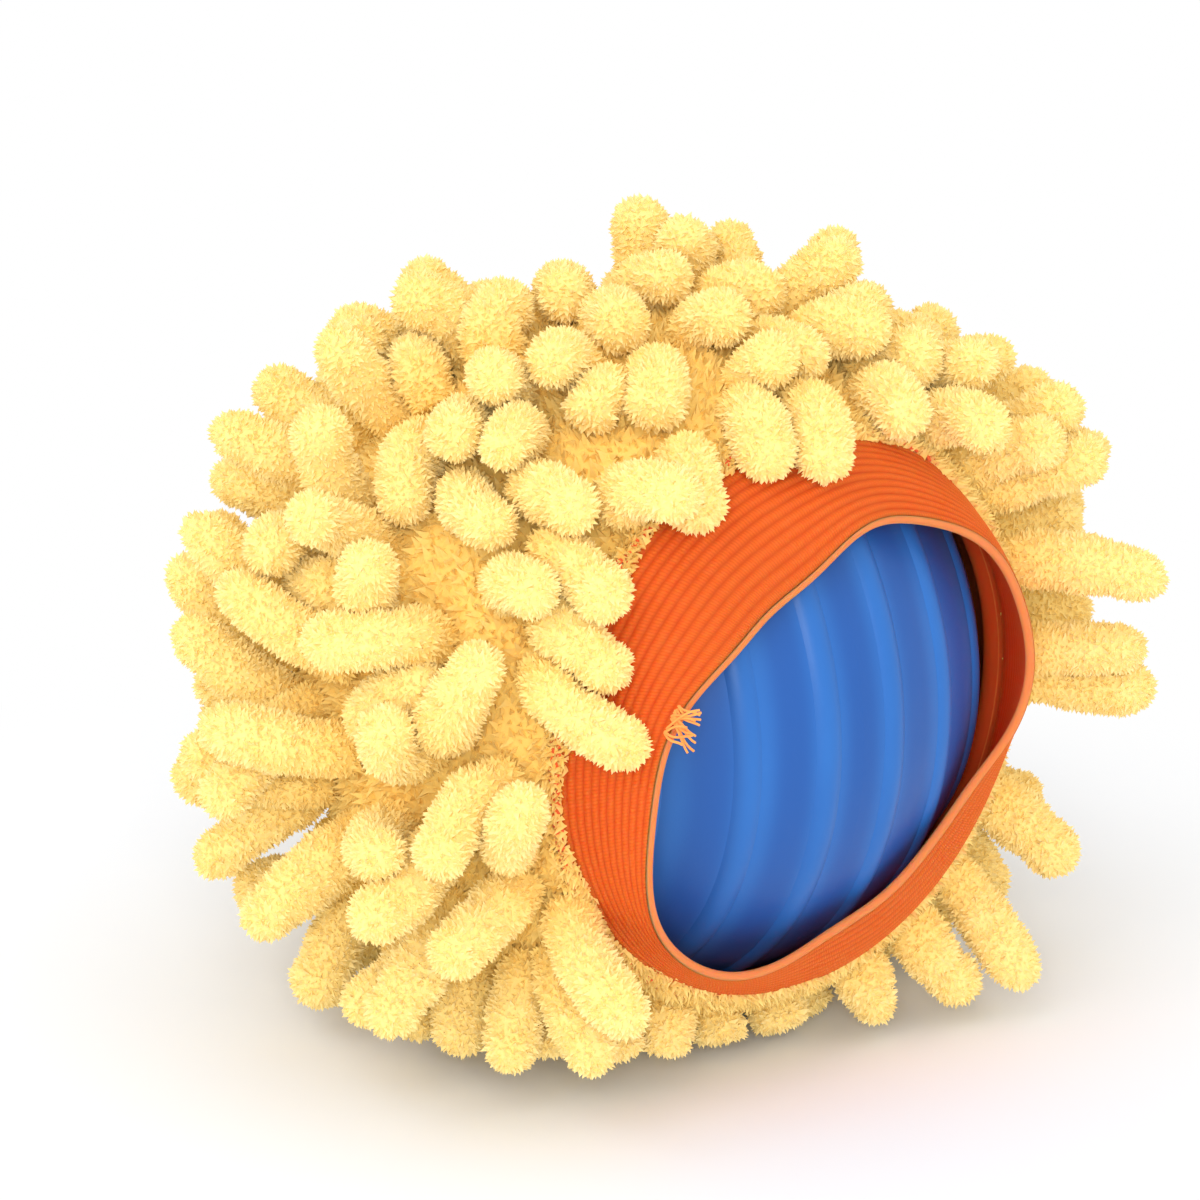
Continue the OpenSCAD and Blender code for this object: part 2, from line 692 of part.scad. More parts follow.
module contact_spring(side) translate([0, side * cell_y, cell_z]) mirror([side > 0 ? 1 : 0, 0, 0]) {
    steps = 8;
    inset = spring_wire / 2 + seat_gap;
    tube([for (i = [0:spring_turns * steps]) let(
        share = i / (spring_turns * steps),
        r = spring_small_r + (spring_big_r - spring_small_r) * share
    ) [tray_half - contact_t - spring_space + inset + share * (spring_space - 2 * inset),
       r * cos(360 * i / steps), r * sin(360 * i / steps)]], spring_wire, [1, 0, 0], 6);
}
module contact_springs() color("gainsboro") at_ball() for (side = [-1, 1]) contact_spring(side);

// Motor
module motor_section() intersection() {
    circle(d = motor_w);
    square([motor_w, motor_h], center = true);
}
module motor_can() color("silver") at_ball() difference() {
    union() {
        x_plate(motor_x - motor_len, motor_x) motor_section();
        x_rod(motor_boss_d, motor_x, motor_x + motor_boss_len);
    }
    x_rod(motor_shaft_d + 2 * run_gap, motor_x - motor_len - over, motor_x + motor_boss_len + over);
}
module motor_end_bell() color("ivory") at_ball() difference() {
    union() {
        x_plate(bell_x, bell_x + bell_len) motor_section();
        x_rod(motor_boss_d, bell_x - motor_boss_len, bell_x);
    }
    x_rod(motor_shaft_d + 2 * run_gap, bell_x, bell_x + bell_len + over);
    for (side = [-1, 1]) translate([bell_x, side * motor_w / 4, 0])
        cube([bell_len, terminal_t + 2 * seat_gap, terminal_w + 2 * seat_gap], center = true);
}
module motor_terminals() color("darkgoldenrod") at_ball() for (side = [-1, 1])
    translate([bell_x - terminal_out, side * motor_w / 4, 0])
        cube([bell_len, terminal_t, terminal_w], center = true);
module motor_shaft() color("silver") at_ball()
    x_rod(motor_shaft_d, bell_x + run_gap, layer_x(0) + gear_w + run_gap);
module motor_pinion() color("white") at_ball() difference() {
    pinion(0, 90);
    x_rod(motor_shaft_d + 2 * press_gap, layer_x(0) - over, layer_x(0) + gear_w + over);
}

// Reduction train: two compound gears on the pin and one on the output shaft's nose
module first_gear() color("white") at_ball() at_gear_pin()
    compound_gear(0, 270, 270, gear_pin_d + 2 * run_gap);
module second_gear() color("white") at_ball() compound_gear(1, 90, 90, nose_d + 2 * run_gap);
module third_gear() color("white") at_ball() at_gear_pin()
    compound_gear(2, 270, 270, gear_pin_d + 2 * run_gap);

// Control board and the parts on it
module control_board() color("seagreen") at_ball() difference() {
    block([board_x, -board_w / 2, board_z], [board_x + board_len, board_w / 2, board_top]);
    for (spot = board_spots) translate([spot.x, spot.y, board_z - over])
        cylinder(d = clear_d, h = board_t + 2 * over);
}
module on_board(at) at_ball() translate([board_x + at.x, at.y, board_top + part_gap]) children();
module timer_chip() color("black") on_board(chip_at) {
    translate([-chip_size.x / 2, -chip_size.y / 2, chip_lift])
        cube([chip_size.x, chip_size.y, chip_size.z - chip_lift]);
    for (side = [-1, 1], k = [0:chip_legs - 1])
        translate([((k + 0.5) / chip_legs - 0.5) * chip_size.x, side * chip_size.y / 2, leg_size.z / 2])
            cube(leg_size, center = true);
}
module capacitor() color("midnightblue") on_board(capacitor_at) {
    cylinder(d = capacitor_d, h = groove_z);
    cylinder(d = capacitor_d - 2 * groove_depth, h = groove_z + groove_w);
    translate([0, 0, groove_z + groove_w]) cylinder(d = capacitor_d, h = capacitor_h - groove_z - groove_w);
}
module motion_sensor() color("gold") on_board(sensor_at) translate([0, 0, sensor_d / 2]) {
    x_rod(sensor_d, -sensor_len / 2, sensor_len / 2);
    x_rod(sensor_lead_d, sensor_len / 2, sensor_len / 2 + sensor_lead_len);
}
module switch_body() color("dimgray") on_board(switch_at) difference() {
    translate([0, 0, switch_size.z / 2]) cube(switch_size, center = true);
    translate([0, 0, switch_size.z])
        cube([knob_size.x + 2 * (switch_travel + slide_gap), knob_size.y + 2 * slide_gap, switch_size.z],
             center = true);
}
module switch_knob() color("white") on_board(switch_at)
    translate([-knob_size.x / 2, -knob_size.y / 2, switch_size.z / 2 + run_gap])
        cube([knob_size.x, knob_size.y, switch_size.z / 2 + knob_size.z]);

// Fasteners
module gearbox_screws() color("gainsboro") at_ball() for (spot = post_spots)
    translate([plate_x + plate_t + seat_gap, spot[0], spot[1]]) rotate([0, 90, 0])
        screw(plate_t + post_screw_len);
module clamp_screws() color("gainsboro") at_ball() for (spot = foot_spots)
    translate([spot.x, spot.y, deck_top + clamp_t + seat_gap]) screw(clamp_t + boss_screw_len);
module board_screws() color("gainsboro") at_ball() for (spot = board_spots)
    translate([spot.x, spot.y, board_top + seat_gap]) screw(board_t + board_lift);

// Leads from the cell contacts to the board and on to the motor
module leads(side) at_ball() {
    tube(supply_route(side), lead_d, [0, 1, 0]);
    tube(motor_route(side), lead_d, [0, 1, 0]);
}
module red_leads() color("red") leads(-1);
module black_leads() color("black") leads(1);

cover_fabric();
front_noodles();
left_noodles();
right_noodles();
back_noodles();
elastic_band();
drive_half();
cap_half();
output_shaft();
output_gear();
output_bush();
chassis_base();
gearbox_plate();
gear_pin();
motor_clamp();
battery_door();
left_cell();
right_cell();
contact_plates();
contact_springs();
motor_can();
motor_end_bell();
motor_terminals();
motor_shaft();
motor_pinion();
first_gear();
second_gear();
third_gear();
control_board();
timer_chip();
capacitor();
motion_sensor();
switch_body();
switch_knob();
gearbox_screws();
clamp_screws();
board_screws();
red_leads();
black_leads();
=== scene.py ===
# Electronic cat ball toy: chenille noodle cover, stretch mouth and blue motor ball
import math

import bpy
import numpy as np
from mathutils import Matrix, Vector


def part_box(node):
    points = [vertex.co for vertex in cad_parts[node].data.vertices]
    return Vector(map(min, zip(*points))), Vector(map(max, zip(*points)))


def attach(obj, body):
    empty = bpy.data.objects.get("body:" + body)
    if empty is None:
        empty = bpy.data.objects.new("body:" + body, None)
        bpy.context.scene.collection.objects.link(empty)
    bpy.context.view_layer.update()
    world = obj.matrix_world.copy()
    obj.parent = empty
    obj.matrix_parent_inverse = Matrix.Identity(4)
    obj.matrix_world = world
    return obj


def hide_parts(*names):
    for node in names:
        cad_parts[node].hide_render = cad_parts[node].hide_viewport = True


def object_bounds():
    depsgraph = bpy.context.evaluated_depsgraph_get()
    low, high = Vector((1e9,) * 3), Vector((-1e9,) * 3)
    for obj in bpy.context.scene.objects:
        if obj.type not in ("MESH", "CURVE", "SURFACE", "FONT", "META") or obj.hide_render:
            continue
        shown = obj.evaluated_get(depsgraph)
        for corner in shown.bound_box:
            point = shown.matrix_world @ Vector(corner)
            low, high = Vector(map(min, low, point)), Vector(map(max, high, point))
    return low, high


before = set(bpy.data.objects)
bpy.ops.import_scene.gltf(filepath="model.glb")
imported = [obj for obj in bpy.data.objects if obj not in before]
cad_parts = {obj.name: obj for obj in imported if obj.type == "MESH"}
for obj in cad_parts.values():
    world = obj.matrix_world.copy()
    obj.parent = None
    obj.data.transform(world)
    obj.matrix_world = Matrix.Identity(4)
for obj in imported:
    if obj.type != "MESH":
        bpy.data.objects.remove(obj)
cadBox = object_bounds()
scene = bpy.context.scene
scene.view_settings.view_transform = "Standard"
mm = 0.001

# Places that the frame gives
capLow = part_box("cap_half")[0]
driveLow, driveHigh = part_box("drive_half")
fabricLow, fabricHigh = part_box("cover_fabric")
bandLow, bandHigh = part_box("elastic_band")
ballCentre = np.array([capLow.x + driveHigh.x, driveLow.y + driveHigh.y, driveLow.z + driveHigh.z]) / 2
fabricRadius = (fabricHigh.x - fabricLow.x) / 2
rimDepth = ballCentre[1] - fabricLow.y
rimRadius = (bandHigh.x - bandLow.x) / 2
lipFront = ballCentre[1] - bandLow.y
ballRadius = (driveHigh.z - driveLow.z) / 2


# Helpers for node trees
def openSocket(sockets, name):
    return next(s for s in sockets if s.name == name and s.enabled)


def feed(tree, socket, value):
    if isinstance(value, bpy.types.NodeSocket):
        tree.links.new(value, socket)
    else:
        socket.default_value = value


def addNode(tree, kind, inputs=(), **settings):
    node = tree.nodes.new(kind)
    for key, value in settings.items():
        setattr(node, key, value)
    for key, value in dict(inputs).items():
        feed(tree, openSocket(node.inputs, key), value)
    return node


def newMaterial(name, roughness, **sockets):
    material = bpy.data.materials.new(name)
    material.use_nodes = True
    shader = material.node_tree.nodes["Principled BSDF"]
    shader.inputs["Roughness"].default_value = roughness
    for key, value in sockets.items():
        shader.inputs[key.replace("_", " ")].default_value = value
    return material, material.node_tree, shader


def mathNode(tree, operation, first, second=0.0, clamp=False):
    node = addNode(tree, "ShaderNodeMath", operation=operation, use_clamp=clamp)
    for socket, value in zip(node.inputs, (first, second)):
        feed(tree, socket, value)
    return node.outputs[0]


def mapRange(tree, value, fromEnds=(0.0, 1.0), toEnds=(0.0, 1.0), kind="LINEAR"):
    return addNode(tree, "ShaderNodeMapRange", {
        "Value": value, "From Min": fromEnds[0], "From Max": fromEnds[1],
        "To Min": toEnds[0], "To Max": toEnds[1]}, interpolation_type=kind).outputs["Result"]


def mixColour(tree, share, first, second):
    node = addNode(tree, "ShaderNodeMix", data_type="RGBA")
    for key, value in (("Factor", share), ("A", first), ("B", second)):
        feed(tree, openSocket(node.inputs, key), value)
    return openSocket(node.outputs, "Result")


def noiseAt(tree, scale, detail=3.0, roughness=0.5):
    place = addNode(tree, "ShaderNodeTexCoord").outputs["Object"]
    return addNode(tree, "ShaderNodeTexNoise", {
        "Vector": place, "Scale": scale, "Detail": detail, "Roughness": roughness}).outputs["Fac"]


def attributeAt(tree, name):
    return addNode(tree, "ShaderNodeAttribute", attribute_name=name).outputs["Fac"]


def seenShare(tree):
    # 1 where the camera looks at a surface, straight or by way of a reflection
    path = addNode(tree, "ShaderNodeLightPath").outputs
    seen = mathNode(tree, "MAXIMUM", path["Is Camera Ray"], path["Is Glossy Ray"])
    return mathNode(tree, "MAXIMUM", seen, path["Is Transmission Ray"])


def addBump(tree, shader, height, strength, distance):
    bump = addNode(tree, "ShaderNodeBump", {"Height": height, "Strength": strength, "Distance": distance})
    tree.links.new(bump.outputs["Normal"], shader.inputs["Normal"])


def unevenRoughness(tree, shader, low, high):
    level = mapRange(tree, noiseAt(tree, 300, 3), toEnds=(low, high))
    tree.links.new(level, shader.inputs["Roughness"])


# Helpers for objects and meshes
def newObject(name, data):
    made = bpy.data.objects.new(name, data)
    scene.collection.objects.link(made)
    return made


def shadeSmooth(mesh):
    mesh.polygons.foreach_set("use_smooth", [True] * len(mesh.polygons))


def meshPiece(name, points, faces, material):
    mesh = bpy.data.meshes.new(name)
    mesh.from_pydata(np.asarray(points).tolist(), [], faces)
    shadeSmooth(mesh)
    mesh.materials.append(material)
    return newObject(name, mesh)


def pointAttribute(piece, name, values):
    layer = piece.data.attributes.new(name, "FLOAT", "POINT")
    layer.data.foreach_set("value", np.asarray(values, dtype=np.float32).ravel())


def geometryTree(name, inputs):
    tree = bpy.data.node_groups.new(name, "GeometryNodeTree")
    tree.interface.new_socket("Geometry", in_out="INPUT", socket_type="NodeSocketGeometry")
    tree.interface.new_socket("Geometry", in_out="OUTPUT", socket_type="NodeSocketGeometry")
    for key, kind in inputs.items():
        tree.interface.new_socket(key, in_out="INPUT", socket_type=kind)
    return tree, addNode(tree, "NodeGroupInput").outputs, addNode(tree, "NodeGroupOutput")


def runTree(piece, tree, **values):
    modifier = piece.modifiers.new(tree.name, "NODES")
    modifier.node_group = tree
    for item in tree.interface.items_tree:
        key = item.name.replace(" ", "")
        key = key[0].lower() + key[1:]
        if item.in_out == "INPUT" and key in values:
            modifier[item.identifier] = values[key]
    depsgraph = bpy.context.evaluated_depsgraph_get()
    made = bpy.data.meshes.new_from_object(piece.evaluated_get(depsgraph))
    piece.modifiers.remove(modifier)
    piece.data = made


def unit(v):
    return v / np.linalg.norm(v, axis=-1, keepdims=True)


def turnsOf(count):
    return np.arange(count) * 2 * math.pi / count


def aboutMouth(radius, depth, turn):
    # From millimetres about the mouth's axis to places in the frame
    return np.stack([radius * np.cos(turn), -depth, radius * np.sin(turn)], axis=-1) * mm + ballCentre


def gridFaces(rows, around, closed=False):
    faces = []
    for i in range(rows if closed else rows - 1):
        a, b = i * around, (i + 1) % rows * around
        faces += [(a + k, a + (k + 1) % around, b + (k + 1) % around, b + k) for k in range(around)]
    return faces


# Camera at the photograph's viewing angle, framed on the ball
view = {"azimuth": -38, "elevation": 19, "lens": 200, "frameWidth": 0.132, "lift": -0.001}


def wayTo(azimuth, elevation):
    a, e = math.radians(azimuth), math.radians(elevation)
    return Vector((math.sin(a) * math.cos(e), -math.cos(a) * math.cos(e), math.sin(e)))


def aim(holder, place, back):
    holder.location = place
    holder.rotation_euler = (-back).to_track_quat("-Z", "Y").to_euler()


def placeCamera():
    target = (Vector(cadBox[0]) + Vector(cadBox[1])) / 2 + Vector((0, 0, view["lift"]))
    lens = bpy.data.cameras.new("photoCamera")
    lens.lens = view["lens"]
    camera = newObject("photoCamera", lens)
    back = wayTo(view["azimuth"], view["elevation"])
    aim(camera, target + back * view["frameWidth"] * lens.lens / lens.sensor_width, back)
    scene.camera = camera


placeCamera()

# Soft studio light and a pale floor
studio = {
    "floorHalf": 6.0, "floorTones": ((0.92, 0.945, 0.985, 1), (0.93, 0.95, 0.98, 1)), "floorCloud": 3.0,
    "worldStrength": 0.88, "shadowReach": 0.05, "whiteFrom": 0.115,
    "lamps": {
        "keyLamp": {"azimuth": -72, "elevation": 46, "distance": 0.9, "size": 0.7, "power": 2.1},
        "frontLamp": {"azimuth": -38, "elevation": 20, "distance": 1.1, "size": 0.35, "power": 4.3},
        "fillLamp": {"azimuth": 30, "elevation": 35, "distance": 1.1, "size": 0.9, "power": 0.4},
    },
}


def whitenFarFloor(tree, shader):
    # Away from the contact shadow the floor shows as plain white
    place = addNode(tree, "ShaderNodeTexCoord").outputs["Object"]
    reach = addNode(tree, "ShaderNodeVectorMath", {"Vector": place}, operation="LENGTH").outputs["Value"]
    far = mapRange(tree, reach, (studio["shadowReach"], studio["whiteFrom"]), kind="SMOOTHSTEP")
    white = addNode(tree, "ShaderNodeEmission", {"Strength": 1.0}).outputs[0]
    blend = addNode(tree, "ShaderNodeMixShader")
    inputs = (mathNode(tree, "MULTIPLY", far, seenShare(tree)), shader.outputs[0], white)
    for socket, value in zip(blend.inputs, inputs):
        tree.links.new(value, socket)
    tree.links.new(blend.outputs[0], tree.nodes["Material Output"].inputs["Surface"])


def makeWorld():
    world = bpy.data.worlds.new("studioWorld")
    world.use_nodes = True
    scene.world = world
    tree = world.node_tree
    background = tree.nodes["Background"]
    background.inputs["Color"].default_value = (1, 1, 1, 1)
    level = mapRange(tree, seenShare(tree), toEnds=(studio["worldStrength"], 1.0))
    tree.links.new(level, background.inputs["Strength"])


def makeLamps():
    for name, lamp in studio["lamps"].items():
        light = bpy.data.lights.new(name, "AREA")
        light.size = lamp["size"]
        light.energy = lamp["power"]
        back = wayTo(lamp["azimuth"], lamp["elevation"])
        aim(newObject(name, light), Vector(ballCentre) + back * lamp["distance"], back)


def makeFloor():
    material, tree, shader = newMaterial("paleFloor", 0.9, Specular_IOR_Level=0.1)
    tone = mixColour(tree, noiseAt(tree, studio["floorCloud"]), *studio["floorTones"])
    tree.links.new(tone, shader.inputs["Base Color"])
    whitenFarFloor(tree, shader)
    h = studio["floorHalf"]
    floor = meshPiece("floor", [(-h, -h, 0), (h, -h, 0), (h, h, 0), (-h, h, 0)], [(0, 1, 2, 3)], material)


makeWorld()
makeLamps()
makeFloor()
print("camera, floor and lights placed")

# Chenille: short velvety pile; painted shade deepens it to golden at the roots of the noodles and the feet of
# the tufts, and painted light makes the ends of the tufts cream
chenille = {
    "noodleChenille": {
        "deep": (1.0, 0.69, 0.18, 1), "middle": (1.0, 0.77, 0.29, 1), "pale": (1.0, 0.82, 0.41, 1)},
    "baseChenille": {
        "deep": (0.98, 0.60, 0.12, 1), "middle": (1.0, 0.73, 0.22, 1), "pale": (1.0, 0.80, 0.33, 1)},
    "sheen": (1.0, 0.86, 0.5, 1), "toneShare": 0.6, "rootReach": 0.45, "rootShare": 0.75, "patchShare": 0.22,
}
tuft = {"sides": 3, "sink": 0.3, "density": 2.2, "turnSeed": 11, "growthSeed": 23, "toneSeed": 37}


def chenilleMaterial(name):
    tones = chenille[name]
    material, tree, shader = newMaterial(
        name, 0.85, Specular_IOR_Level=0.1,
        Sheen_Weight=0.12, Sheen_Roughness=0.5, Sheen_Tint=chenille["sheen"])
    # Painted light and shade: each tuft is paler towards its tip and darker at its foot and on the core
    colour = mixColour(tree, attributeAt(tree, "tuftTip"), tones["middle"], tones["pale"])
    plain = mathNode(tree, "MULTIPLY", attributeAt(tree, "tuftTone"), chenille["toneShare"])
    colour = mixColour(tree, plain, colour, tones["middle"])
    # Painted shade: deeper golden towards each noodle's root
    rootShade = mapRange(tree, attributeAt(tree, "alongNoodle"),
                        (0.0, chenille["rootReach"]), (chenille["rootShare"], 0.0))
    colour = mixColour(tree, rootShade, colour, tones["deep"])
    # Random patches of the same deeper tone
    patch = mapRange(tree, noiseAt(tree, 140, 2), (0.35, 0.7), (0.0, chenille["patchShare"]))
    colour = mixColour(tree, patch, colour, tones["deep"])
    tree.links.new(colour, shader.inputs["Base Color"])
    addBump(tree, shader, noiseAt(tree, 4200, 2), 0.35, 0.0002)
    return material


noodleChenille = chenilleMaterial("noodleChenille")
baseChenille = chenilleMaterial("baseChenille")


def tuftGrain(tree, given):
    # A tuft is a three-sided tapering grain whose foot is sunk in the core
    grain = addNode(tree, "GeometryNodeMeshCone", {
        "Vertices": tuft["sides"], "Side Segments": 1, "Fill Segments": 1,
        "Radius Top": 0.0, "Radius Bottom": 0.5, "Depth": 1.0}).outputs["Mesh"]
    grain = addNode(tree, "GeometryNodeSetShadeSmooth", {"Geometry": grain, "Shade Smooth": False}).outputs[0]
    size = addNode(tree, "ShaderNodeCombineXYZ", {
        "X": given["Tuft Width"], "Y": given["Tuft Width"], "Z": given["Tuft Length"]}).outputs[0]
    foot = addNode(tree, "ShaderNodeCombineXYZ", {
        "Z": mathNode(tree, "MULTIPLY", given["Tuft Length"], -tuft["sink"])}).outputs[0]
    grain = addNode(tree, "GeometryNodeTransform", {
        "Geometry": grain, "Scale": size, "Translation": foot}).outputs["Geometry"]
    height = addNode(tree, "ShaderNodeSeparateXYZ", {
        "Vector": addNode(tree, "GeometryNodeInputPosition").outputs[0]}).outputs["Z"]
    top = mathNode(tree, "MULTIPLY", given["Tuft Length"], 1 - tuft["sink"])
    # tuftTip runs from 0 at the foot to 1 at the tip and places the painted light on the tips
    return addNode(tree, "GeometryNodeStoreNamedAttribute", {
        "Geometry": grain, "Name": "tuftTip", "Value": mathNode(tree, "DIVIDE", height, top, clamp=True)},
        data_type="FLOAT", domain="POINT").outputs["Geometry"]


def tuftLean(tree, given, rotation):
    # Each tuft turns about its own axis and tilts a little
    turn = addNode(tree, "FunctionNodeRandomValue", {
        "Min": (-1.0, -1.0, -3.1), "Max": (1.0, 1.0, 3.1), "Seed": tuft["turnSeed"]},
        data_type="FLOAT_VECTOR")
    share = addNode(tree, "ShaderNodeCombineXYZ", {"X": given["Tilt"], "Y": given["Tilt"], "Z": 1.0})
    lean = addNode(tree, "ShaderNodeVectorMath", operation="MULTIPLY")
    tree.links.new(turn.outputs[0], lean.inputs[0])
    tree.links.new(share.outputs[0], lean.inputs[1])
    lean = addNode(tree, "FunctionNodeEulerToRotation", {"Euler": lean.outputs[0]}).outputs[0]
    return addNode(tree, "FunctionNodeRotateRotation", {
        "Rotation": rotation, "Rotate By": lean}, rotation_space="LOCAL").outputs[0]


def pileTree():
    tree, given, result = geometryTree("chenillePile", {
        "Spacing": "NodeSocketFloat", "Tuft Length": "NodeSocketFloat", "Tuft Width": "NodeSocketFloat",
        "Tilt": "NodeSocketFloat", "Spread": "NodeSocketFloat", "Seed": "NodeSocketInt",
        "Core Kept": "NodeSocketBool", "Pile": "NodeSocketMaterial"})
    closest = mathNode(tree, "MULTIPLY", given["Spacing"], given["Spacing"])
    points = addNode(tree, "GeometryNodeDistributePointsOnFaces", {
        "Mesh": given["Geometry"], "Distance Min": given["Spacing"],
        "Density Max": mathNode(tree, "DIVIDE", tuft["density"], closest), "Density Factor": 1.0,
        "Seed": given["Seed"]}, distribute_method="POISSON").outputs
    growth = addNode(tree, "FunctionNodeRandomValue", {
        "Min": mathNode(tree, "SUBTRACT", 1.0, given["Spread"]),
        "Max": mathNode(tree, "ADD", 1.0, given["Spread"]), "Seed": tuft["growthSeed"]}, data_type="FLOAT")
    tufts = addNode(tree, "GeometryNodeInstanceOnPoints", {
        "Points": points["Points"], "Instance": tuftGrain(tree, given),
        "Rotation": tuftLean(tree, given, points["Rotation"]),
        "Scale": openSocket(growth.outputs, "Value")}).outputs["Instances"]
    tone = addNode(tree, "FunctionNodeRandomValue", {
        "Min": 0.0, "Max": 1.0, "Seed": tuft["toneSeed"]}, data_type="FLOAT")
    tufts = addNode(tree, "GeometryNodeStoreNamedAttribute", {
        "Geometry": tufts, "Name": "tuftTone", "Value": openSocket(tone.outputs, "Value")},
        data_type="FLOAT", domain="INSTANCE").outputs["Geometry"]
    joined = addNode(tree, "GeometryNodeJoinGeometry")
    kept = addNode(tree, "GeometryNodeSwitch", {
        "Switch": given["Core Kept"], "True": given["Geometry"]}, input_type="GEOMETRY")
    tree.links.new(kept.outputs[0], joined.inputs[0])
    tree.links.new(tufts, joined.inputs[0])
    whole = addNode(tree, "GeometryNodeRealizeInstances", {"Geometry": joined.outputs[0]}).outputs[0]
    whole = addNode(tree, "GeometryNodeSetMaterial", {
        "Geometry": whole, "Material": given["Pile"]}).outputs[0]
    tree.links.new(whole, result.inputs[0])
    return tree


chenillePile = pileTree()

# Stretch mouth, in millimetres: a ribbed elastic band that ends in a thin rolled lip
stretchMouth = {
    "mouth": 45, "lipInset": 1, "lipRoll": 0.5, "halfThickness": 0.45, "bulge": 0.7, "rootTuck": 0.2,
    "cords": 12, "ribHeight": 0.17, "ribPower": 0.8, "stitches": 240, "slackPower": 1.6,
    "around": 420, "outerRows": 77, "lipRows": 13, "lipOverlap": 0.15, "innerRows": 25, "innerFrom": 0.97,
    "hugRows": 5, "hugGap": 0.5, "hugTurn": 2.5,
    "waves": ((2, 4.4, 0.42), (1, 1.4, 4.5), (5, 0.4, 0.4), (9, 0.2, 1.2)),
    "sways": ((2, 1.0, 2.2), (4, 0.4, 1.0), (7, 0.3, 2.6)),
}
lipInset = stretchMouth["lipInset"]
lipCentre = np.array([stretchMouth["mouth"] / 2 + lipInset, lipFront / mm - lipInset])

# Noodles, in millimetres from the ball's centre; the rows are the frame's own
noodles = {
    "rimCount": 26, "rimRow": 60.5, "lattice": 250, "startAngle": 70.5, "frontAngle": 84, "backAngle": 128,
    "goldenAngle": 137.508, "goldenShare": 0.618034, "lengthStart": 2, "seed": 23, "shift": 0.05,
    "fillers": 12, "fillerRow": 58.5, "fillerShare": 0.8, "fillerTrials": 4000,
    "length": 17.8, "lengthSpread": 0.3, "crownDroop": 0.42, "radius": 3.3, "tipTrim": 0.2,
    "pressedRoom": 7.4, "floorPile": 1.4, "footSlack": 1.1, "nearLift": 8, "nearSide": (-0.616, -0.788, 0.0),
}


def rootsAt(polar, turn):
    return np.stack([np.sin(polar) * np.cos(turn), -np.cos(polar), np.sin(polar) * np.sin(turn)], axis=1)


def windingRoots(count, fromAngle):
    # A lattice that winds from the mouth to the back
    order = np.arange(count)
    polar = np.arccos(1 - (2 * order + 1) / count)
    return rootsAt(polar, np.radians(noodles["goldenAngle"]) * order)[np.degrees(polar) > fromAngle]


def noodleRoots():
    # A row along the rim, then the lattice
    rimTurn = turnsOf(noodles["rimCount"])
    rim = rootsAt(np.full(len(rimTurn), math.radians(noodles["rimRow"])), rimTurn)
    return np.concatenate([rim, windingRoots(noodles["lattice"], noodles["startAngle"])])


def fillerRoots(root):
    # More noodles, each in the widest space that the others leave
    trial = windingRoots(noodles["fillerTrials"], noodles["fillerRow"])
    gap = np.linalg.norm(trial[:, None] - root[None], axis=2).min(axis=1)
    found = []
    for _ in range(noodles["fillers"]):
        widest = trial[np.argmax(gap)]
        found.append(widest)
        gap = np.minimum(gap, np.linalg.norm(trial - widest, axis=1))
    return np.array(found)


# Ways that the noodles stand and bend
posture = {
    "lean": 0.35, "leanWave": 172, "waveAngles": (40, 150, 260), "crownStand": 0.7, "flop": (0.6, 0.4, 0.0),
    "underSweep": 0.6, "hang": 0.85, "hangFrom": 0.25, "hangOver": 0.45,
    "stray": 0.48, "lay": 0.45, "layPower": 1.5, "ownWay": 0.3,
    "calmSide": (0.788, -0.616, 0.0), "calmFrom": 0.35, "calmFall": 2, "calmLeast": 0.3,
    "flopSide": (-0.6, -0.72, 0.35), "flopLay": 1.0, "overSide": (-0.6, 0.0, 0.8), "overBand": 1.8,
    "mouthLean": 0.85, "mouthFrom": 0.15, "mouthOver": 0.35,
    "footSpread": 0.5, "footFrom": 0.35, "footWay": (1, 0.2, 0), "crownLay": 1.3,
}


def noodleWays(root):
    p = posture
    wave = p["leanWave"] * root[:, [1, 2, 0]] + np.array(p["waveAngles"])
    lean = p["lean"] * np.sin(np.radians(wave))
    lean[:noodles["rimCount"]] = 0
    lean -= (lean * root).sum(axis=1, keepdims=True) * root
    stand = unit(root * np.array([1, 1, p["crownStand"]]))
    crown = np.maximum(0, root[:, 2:]) ** 2
    under = np.maximum(0, -root[:, 2:]) ** 2 * np.maximum(0, -root[:, 1:2])
    sweep = np.array([0, p["underSweep"], 0])
    way = unit(stand + lean - crown * np.array(p["flop"]) + under * sweep)
    # Below the ball's middle the noodles hang down
    hang = p["hang"] * np.clip((-root[:, 2:] - p["hangFrom"]) / p["hangOver"], 0, 1)
    return unit((1 - hang) * way - hang * np.array([0, 0, 1.0]))


def facing(root, side):
    return np.clip(root @ np.array(side), 0, 1)[:, None]


